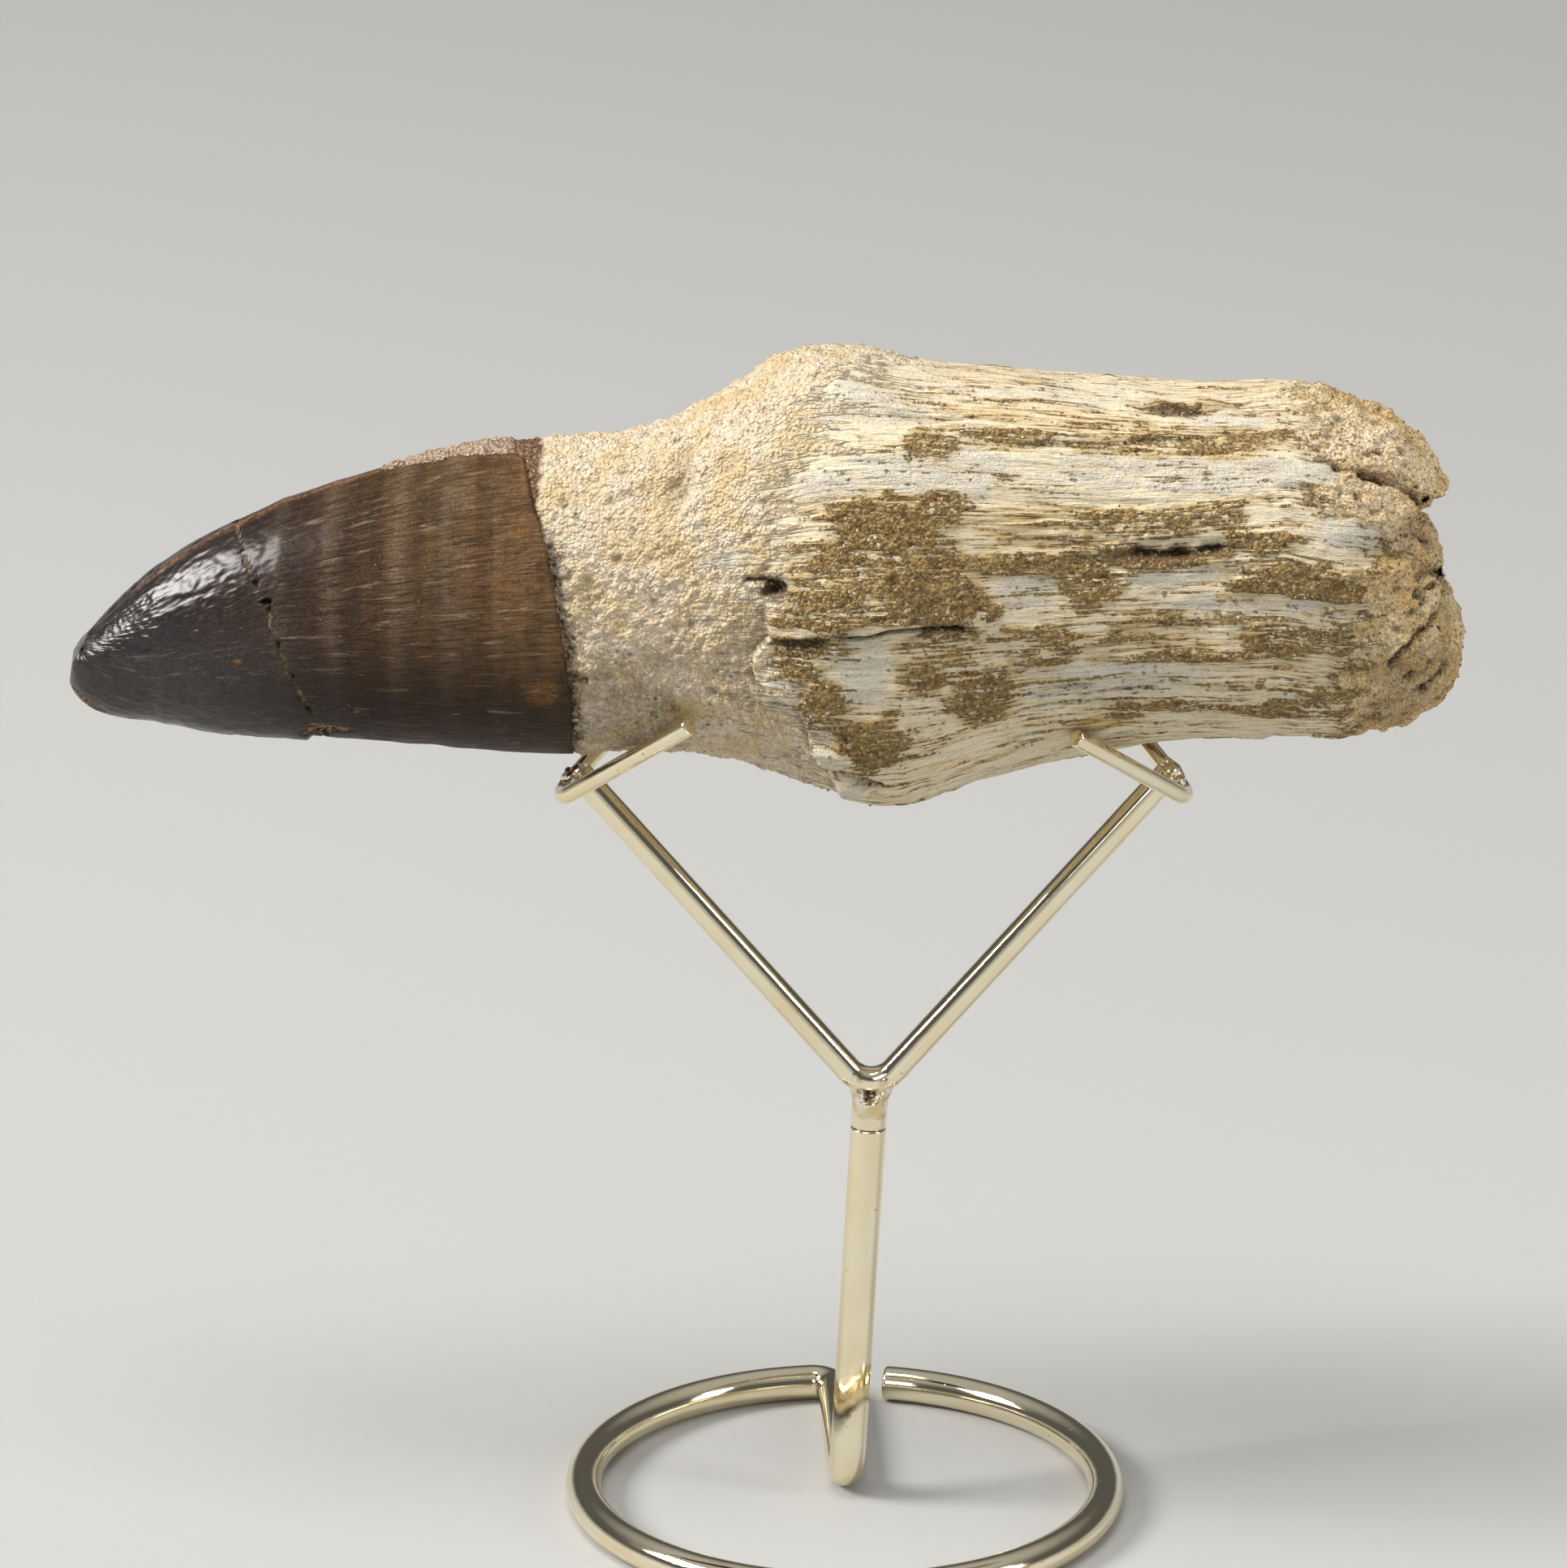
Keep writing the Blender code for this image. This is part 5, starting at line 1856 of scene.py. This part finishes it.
@dataclass(frozen=True)
class StandPlan:
    """The bends of the stand's wires. The plan's own origin is the middle of the ring foot."""

    origin: Triple = (6.8, 0.0, 0.0)
    ring_radius: float = 21.36
    ring_cut: float = 9.2
    ring_end: float = 350.5
    ring_steps: int = 170
    rest_height: float = 1.449
    leg_corner: tuple[float, float] = (-0.75, 21.5)
    leg_bend: float = 1.9
    post_bend: float = 3.7
    post_foot_x: float = 0.13
    post_lean: float = 0.0483
    seam_height: float = 32.7
    fork_corner: tuple[float, float] = (1.84, 35.4)
    fork_bend: float = 2.4
    left_arm_end: tuple[float, float] = (-21.7, 62.6)
    right_arm_end: tuple[float, float] = (25.25, 62.95)
    cradle_bend: float = 2.1
    cradle_below_end: float = 0.55
    bend_steps: int = 22

    def placed(self, *point: float) -> Vector:
        """Return a point of the plan in the solids' frame."""
        return Vector(point) + Vector(self.origin)

    def fillet(self, before: Vector, corner: Vector, after: Vector, radius: float) -> list[Vector]:
        """Return the arc that rounds a wire's corner.

        Args:
            before: The corner before it.
            corner: The corner.
            after: The corner after it.
            radius: The bend's radius at the wire's middle.

        Returns:
            The arc's points.
        """
        into = (corner - before).normalized()
        out = (after - corner).normalized()
        turn = into.angle(out)
        start = corner - into * radius * math.tan(turn / 2)
        inward = (out - into * into.dot(out)).normalized()
        centre = start + inward * radius
        angles = [turn * step / self.bend_steps for step in range(self.bend_steps + 1)]
        return [centre + (into * math.sin(a) - inward * math.cos(a)) * radius for a in angles]

    def post(self, height: float) -> Vector:
        """Return the point of the leaning post at a height."""
        lean = self.post_lean * (height - self.rest_height)
        return self.placed(self.post_foot_x + lean, 0.0, height)

    def foot(self, top: float) -> list[Vector]:
        """Draw the ring foot, the leg across it and the post.

        Args:
            top: The post's height.

        Returns:
            Their one line.
        """
        turns = np.radians(np.linspace(self.ring_cut, self.ring_end, self.ring_steps))
        reach = self.ring_radius
        ring = [
            self.placed(reach * math.sin(t), reach * math.cos(t), self.rest_height) for t in turns
        ]
        corner = self.placed(*self.leg_corner, self.rest_height)
        heel, head = self.post(self.rest_height), self.post(top)
        leg = self.fillet(ring[-1], corner, heel, self.leg_bend)
        rise = self.fillet(corner, heel, head, self.post_bend)
        return [*ring[:-1], ring[-1], *leg, *rise, head]

    def fork(self) -> list[Vector]:
        """Draw the fork.

        Returns:
            Its line, from the left arm's end to the right arm's.
        """
        left, right = (
            self.placed(end[0], 0.0, end[1]) for end in (self.left_arm_end, self.right_arm_end)
        )
        corner = self.placed(self.fork_corner[0], 0.0, self.fork_corner[1])
        return [left, *self.fillet(left, corner, right, self.fork_bend), right]

    def arm(self, end: tuple[float, float]) -> tuple[Vector, Vector, Vector]:
        """Follow one arm of the fork.

        Args:
            end: The arm's end.

        Returns:
            Its end, its direction, and the square direction that its cradle opens in.
        """
        place = self.placed(end[0], 0.0, end[1])
        along = (place - self.placed(self.fork_corner[0], 0.0, self.fork_corner[1])).normalized()
        side = -1.0 if along.x > 0 else 1.0
        return place, along, Vector((side * along.z, 0.0, abs(along.x)))

    def cradle(self, end: tuple[float, float], prongs: Triple) -> list[Vector]:
        """Return the line of a cradle, square to its arm.

        Args:
            end: The arm's end.
            prongs: The prongs' length, and the degrees that the front and back ones splay.

        Returns:
            The line from the front prong's tip to the back one's.
        """
        place, along, opens = self.arm(end)
        length, front_splay, back_splay = prongs
        centre = place - along * self.cradle_below_end
        back = Vector((0.0, 1.0, 0.0))
        angles = np.radians(np.linspace(front_splay - 90, 90 - back_splay, 2 * self.bend_steps))
        crook = [
            centre + (back * math.sin(a) - opens * math.cos(a)) * self.cradle_bend for a in angles
        ]
        first, last = (back * math.cos(a) + opens * math.sin(a) for a in (angles[0], angles[-1]))
        return [crook[0] - first * length, *crook, crook[-1] + last * length]


@dataclass
class PlatedWires:
    """The stand's five lengths of round plated wire, each swept along its bends."""

    plan: StandPlan
    heavy_radius: float = 1.448
    fork_radius: float = 1.098
    cradle_radius: float = 0.7
    heavy_edge: float = 0.34
    seam_edge: float = 0.16
    fine_edge: float = 0.13
    seam_gap: float = 0.03
    rod_top: float = 35.0
    left_prongs: Triple = (14.7, 32.0, 36.0)
    right_prongs: Triple = (13.6, 35.5, 50.0)
    sides: int = 56
    edge_steps: int = 6
    crisp_angle: float = 50.0

    def __post_init__(self) -> None:
        """Build the sweeping tree."""
        kinds = {"Wire Radius": "Float", "Sides": "Int", "Finish": "Material"}
        j = Jig("wire_sweep", kinds)
        line = j.add("GeometryNodeMeshToCurve", {}, {"Mesh": j.given["Geometry"]})
        inputs = {"Resolution": j.given["Sides"], "Radius": j.given["Wire Radius"]}
        circle = j.add("GeometryNodeCurvePrimitiveCircle", {"mode": "RADIUS"}, inputs)
        inputs = {
            "Curve": line,
            "Profile Curve": circle,
            "Scale": j.named("thickness"),
            "Fill Caps": True,
        }
        tube = j.add("GeometryNodeCurveToMesh", {}, inputs)
        j.close(j.add("GeometryNodeSetShadeSmooth", {}, {"Geometry": tube}), "Finish")
        self.jig = j

    def build(self, finish: Material) -> list[Object]:
        """Build the five wires.

        Args:
            finish: The plate's material.

        Returns:
            Their pieces.
        """
        plan = self.plan
        foot = plan.foot(plan.seam_height - self.seam_gap)
        rod = [plan.post(plan.seam_height + self.seam_gap), plan.post(self.rod_top)]
        left = plan.cradle(plan.left_arm_end, self.left_prongs)
        right = plan.cradle(plan.right_arm_end, self.right_prongs)
        heavy, fine = self.heavy_radius, (self.fine_edge, self.fine_edge)
        wires = (
            ("plated_foot", foot, heavy, (self.heavy_edge, self.seam_edge), "base_wire"),
            ("plated_rod", rod, heavy, (self.seam_edge, 0.0), "upper_rod"),
            ("plated_fork", plan.fork(), self.fork_radius, fine, "fork_wire"),
            ("plated_cradle_left", left, self.cradle_radius, fine, "cradle_left"),
            ("plated_cradle_right", right, self.cradle_radius, fine, "cradle_right"),
        )
        return [self._wire(*wire, finish) for wire in wires]

    def _edged(
        self, line: list[Vector], radius: float, edge: float
    ) -> tuple[list[Vector], list[float]]:
        """Round off a line's first end.

        Args:
            line: The line.
            radius: The wire's radius.
            edge: How far the end is rounded.

        Returns:
            The line, and the thickness at each point.
        """
        if not edge:
            return line, [1.0] * len(line)
        step = (line[1] - line[0]).normalized()
        turns = [math.pi / 2 * n / self.edge_steps for n in range(self.edge_steps + 1)]
        points = [line[0] + step * edge * (1.0 - math.cos(turn)) for turn in turns]
        thickness = [(radius - edge + edge * math.sin(turn)) / radius for turn in turns]
        return points + line[1:], thickness + [1.0] * (len(line) - 1)

    def _wire(
        self,
        name: str,
        line: list[Vector],
        radius: float,
        edges: tuple[float, float],
        node: str,
        finish: Material,
    ) -> Object:
        """Sweep one wire.

        Args:
            name: The piece's name.
            line: Its centre line.
            radius: Its radius.
            edges: How far its first and last ends are rounded.
            node: The solid that it stands for.
            finish: Its material.

        Returns:
            The piece.
        """
        line, thickness = self._edged(line, radius, edges[0])
        line, back = self._edged(line[::-1], radius, edges[1])
        line, back = line[::-1], back[::-1]
        thickness = thickness + [1.0] * (len(line) - len(thickness))
        width = [min(pair) for pair in zip(thickness, back)]
        guide = bpy.data.meshes.new(f"{name}_line")
        legs = [(n, n + 1) for n in range(len(line) - 1)]
        guide.from_pydata([point * MM for point in line], legs, [])
        guide.attributes.new("thickness", "FLOAT", "POINT").data.foreach_set("value", width)
        base = link(guide.name, guide)
        values = {"Wire Radius": radius * MM, "Sides": self.sides, "Finish": finish}
        mesh = self.jig.grow(name, base, values)
        bpy.data.objects.remove(base)
        mesh.set_sharp_from_angle(angle=math.radians(self.crisp_angle))
        return finished(link(name, mesh), node)


@dataclass(frozen=True)
class Lump:
    """A rod or ball of braze before it melts into the rest: its two ends and its radii."""

    start: Triple
    end: Triple
    radius: float
    end_radius: float = 0.0


@dataclass
class MeltedBraze:
    """The braze: lumps melted together over the joints, smoothed and pitted."""

    plan: StandPlan
    voxel: float = 0.085
    joint_smoothing: int = 10
    left_smoothing: int = 6
    right_smoothing: int = 5
    saddle: tuple[Lump, ...] = (
        Lump((1.7, 0.0, 33.9), (1.78, 0.0, 35.5), 1.47),
        Lump((1.84, 0.0, 36.3), (-0.3, 0.0, 37.72), 1.05, 1.02),
        Lump((1.84, 0.0, 36.3), (3.98, 0.0, 37.72), 1.05, 1.02),
        Lump((1.8, 0.0, 35.7), (1.84, 0.0, 36.4), 1.38, 1.16),
        Lump((0.75, -0.2, 35.7), (0.45, -0.3, 36.2), 0.62, 0.45),
        Lump((2.85, -0.2, 35.7), (3.2, -0.3, 36.2), 0.62, 0.45),
        Lump((0.45, -0.62, 37.3), (0.3, -0.66, 37.42), 0.5),
        Lump((1.1, -0.66, 36.85), (0.85, -0.7, 37.0), 0.46),
        Lump((2.6, -0.7, 36.75), (2.95, -0.72, 36.95), 0.48),
    )
    left: tuple[Lump, ...] = (
        Lump((-21.75, 0.0, 62.62), (-21.6, 0.0, 62.8), 0.62, 0.55),
        Lump((-22.35, -0.35, 62.3), (-21.9, -0.4, 62.05), 0.4, 0.34),
        Lump((-22.6, 0.1, 62.15), (-22.75, 0.3, 62.05), 0.42, 0.38),
        Lump((-22.45, 0.75, 62.4), (-22.5, 0.9, 62.35), 0.38, 0.34),
    )
    right: tuple[Lump, ...] = (
        Lump((25.25, 0.1, 62.95), (25.45, 0.2, 63.05), 0.66, 0.6),
        Lump((25.05, 0.55, 63.72), (25.8, 0.5, 63.05), 0.36, 0.42),
        Lump((25.8, 0.45, 63.0), (26.25, 0.15, 62.3), 0.44, 0.36),
        Lump((26.0, -0.35, 62.35), (26.25, -0.3, 62.1), 0.38, 0.34),
    )
    pit: Triple = (1.72, -1.45, 35.9)
    pit_reach: Triple = (0.98, 1.15, 1.05)
    pit_depth: float = 0.62
    seed: int = 31

    def build(self, finish: Material) -> list[Object]:
        """Build the three pieces of braze.

        Args:
            finish: The braze's material.

        Returns:
            The pieces.
        """
        beads = (
            ("braze_joint", self.saddle, self.joint_smoothing, "braze_saddle", True),
            ("braze_bead_left", self.left, self.left_smoothing, "braze_left", False),
            ("braze_bead_right", self.right, self.right_smoothing, "braze_right", False),
        )
        return [self._melt(*bead, finish) for bead in beads]

    def _capsule(self, lump: Lump) -> Mesh:
        """Make one lump.

        Args:
            lump: The lump.

        Returns:
            The hull of the balls at its ends.
        """
        shape = bmesh.new()
        radii = (lump.radius, lump.end_radius or lump.radius)
        for place, radius in zip((lump.start, lump.end), radii):
            where = Matrix.Translation(self.plan.placed(*place))
            bmesh.ops.create_icosphere(shape, subdivisions=3, radius=radius, matrix=where)
        corners = [vert.co.copy() for vert in shape.verts]
        shape.clear()
        for corner in corners:
            shape.verts.new(corner)
        hull = bmesh.ops.convex_hull(shape, input=shape.verts)
        inner = [v for v in hull["geom_interior"] if isinstance(v, bmesh.types.BMVert)]
        bmesh.ops.delete(shape, geom=inner, context="VERTS")
        mesh = bpy.data.meshes.new("lump")
        shape.to_mesh(mesh)
        shape.free()
        return mesh

    def _melt(
        self,
        name: str,
        lumps: tuple[Lump, ...],
        smoothing: int,
        node: str,
        pitted: bool,
        finish: Material,
    ) -> Object:
        """Melt lumps together into one piece.

        Args:
            name: The piece's name.
            lumps: The lumps.
            smoothing: How many times the surface is smoothed.
            node: The solid that the piece stands for.
            pitted: Whether the joint's open pit is sunk into its front.
            finish: Its material.

        Returns:
            The piece.
        """
        shape = bmesh.new()
        for lump in lumps:
            shape.from_mesh(self._capsule(lump))
        loose = bpy.data.meshes.new(f"{name}_loose")
        shape.to_mesh(loose)
        shape.free()
        cold = link(loose.name, loose)
        remesh = cold.modifiers.new("melt", "REMESH")
        remesh.mode, remesh.voxel_size = "VOXEL", self.voxel
        graph = bpy.context.evaluated_depsgraph_get()
        mesh = bpy.data.meshes.new_from_object(cold.evaluated_get(graph))
        mesh.name = name
        bpy.data.objects.remove(cold)
        shape = bmesh.new()
        shape.from_mesh(mesh)
        every_way = {f"use_axis_{axis}": True for axis in "xyz"}
        for _ in range(smoothing):
            bmesh.ops.smooth_vert(shape, verts=shape.verts, factor=0.5, **every_way)
        shape.normal_update()
        self._pitted(shape, pitted)
        shape.to_mesh(mesh)
        shape.free()
        mesh.shade_smooth()
        mesh.materials.clear()
        mesh.materials.append(finish)
        return finished(link(name, mesh), node)

    def _pitted(self, shape: bmesh.types.BMesh, pitted: bool) -> None:
        """Roughen a shape, sink its pit, mark it there for burnt braze and painted shade, and bring
        it to metres.

        Args:
            shape: The shape, which is changed.
            pitted: Whether it has the pit.
        """
        weather = Weather(self.seed)
        burnt = shape.verts.layers.float.new("burnt")
        points = np.array([vert.co for vert in shape.verts])
        normals = np.array([vert.normal for vert in shape.verts])
        away = (points - np.array(self.plan.placed(*self.pit))) / np.array(self.pit_reach)
        away = np.linalg.norm(away, axis=1) + weather.rough(points, 0.7, 3, 0.7) * 0.38
        sunk = eased(away, 1.05, 0.7) if pitted else np.zeros(len(points))
        crystal, tone = weather.grains(points, 0.42)
        rise = weather.rough(points, 1.0, 2) * 0.03
        rise = rise - sunk * (self.pit_depth + (crystal - 0.5) * 0.7 * tone)
        points = inside_box(points + normals * rise[:, None]) * MM
        for vert, point, mark in zip(shape.verts, points, sunk):
            vert.co = point
            vert[burnt] = mark


# ---- The studio ----


@dataclass(frozen=True)
class SoftBox:
    """A soft light: where it stands, how wide and tall it is, and its power in watts."""

    name: str
    place: Triple
    size: tuple[float, float]
    power: float
    colour: Colour = (1.0, 1.0, 1.0)


@dataclass
class Studio:
    """A pale floor, soft light from the left and above, and the camera."""

    target: Triple = (0.0, 0.0, 0.06)
    floor_half: float = 4.0
    camera_place: Triple = (0.00141, -0.61081, 0.26763)
    camera_tilt: float = 71.37
    camera_roll: float = 0.4
    lens: float = 186.335
    boxes: tuple[SoftBox, ...] = (
        SoftBox("key_light", (-1.296, -0.18, 1.02), (0.576, 0.576), 30.8, (1.0, 0.97, 0.94)),
        SoftBox("side_light", (0.7, -0.28, 0.36), (0.2, 0.36), 2.1, (0.98, 0.99, 1.0)),
        SoftBox("top_light", (-0.1, -0.2, 0.95), (0.5, 0.4), 4.8, (1.0, 0.985, 0.96)),
        SoftBox("front_light", (-0.3, -0.95, 0.5), (0.55, 0.4), 1.2, (1.0, 0.99, 0.98)),
    )
    # The sky's grey at the sine of each elevation.
    sky: Table = ((0.06, 0.5), (0.22, 0.09), (0.5, 0.1), (0.8, 0.42))

    def build(self) -> None:
        """Build the floor, the sky, the lights and the camera."""
        half = self.floor_half
        mesh = bpy.data.meshes.new("paper_floor")
        corners = [(-half, -half, 0.0), (half, -half, 0.0), (half, half, 0.0), (-half, half, 0.0)]
        mesh.from_pydata(corners, [], [(0, 1, 2, 3)])
        mesh.materials.append(FloorFinish().material())
        link("paper_floor", mesh)
        self._sky()
        for box in self.boxes:
            self._light(box)
        self._camera()

    def _sky(self) -> None:
        """Make a sky that is pale low down and overhead and dark between, for metal to mirror."""
        world = bpy.data.worlds.new("studio")
        world.use_nodes = True
        sky = Wiring(world.node_tree)
        toward = sky.add("ShaderNodeTexCoord", {}, {}, "Generated")
        height = sky.add("ShaderNodeSeparateXYZ", {}, {0: toward}, "Z")
        stops = [(place, (grey,) * 3) for place, grey in self.sky]
        shade = sky.add("ShaderNodeValToRGB", {"stops": stops}, {0: height})
        sky.tree.links.new(shade, sky.tree.nodes["Background"].inputs["Color"])
        bpy.context.scene.world = world
        bpy.context.scene.view_settings.view_transform = "Standard"

    def _light(self, box: SoftBox) -> None:
        """Hang one soft light, aimed at the object.

        Args:
            box: The light.
        """
        data = bpy.data.lights.new(box.name, "AREA")
        data.shape = "RECTANGLE"
        data.size, data.size_y = box.size
        data.energy = box.power
        data.color = box.colour
        lamp = link(box.name, data)
        lamp.location = box.place
        aim = Vector(self.target) - Vector(box.place)
        lamp.rotation_euler = aim.to_track_quat("-Z", "Y").to_euler()
        lamp.visible_camera = False

    def _camera(self) -> None:
        """Place the camera and make it the scene's own."""
        data = bpy.data.cameras.new("camera")
        data.lens = self.lens
        data.sensor_width = 36.0
        data.clip_start, data.clip_end = 0.01, 100.0
        camera = link("camera", data)
        tilt = Matrix.Rotation(math.radians(self.camera_tilt), 4, "X")
        roll = Matrix.Rotation(math.radians(self.camera_roll), 4, "Z")
        camera.matrix_world = Matrix.Translation(self.camera_place) @ tilt @ roll
        bpy.context.scene.camera = camera


def main() -> None:
    """Build the tooth, its stand and the studio."""
    logging.basicConfig(level=logging.INFO, format="%(name)s: %(message)s", force=True)
    Studio().build()
    plan = StandPlan()
    PlatedWires(plan).build(PlateFinish().material())
    MeltedBraze(plan).build(BrazeFinish().material())
    skin, edge = ToothSkin(), EnamelEdge()
    CrownEnamel().build(skin, edge, EnamelFinish())
    bones = FossilBone().build(skin, edge, BoneFinish())
    sand = LooseSand()
    grain = SandFinish().material()
    for bone in bones:
        sand.build(bone, grain)


if __name__ == "__main__":
    main()
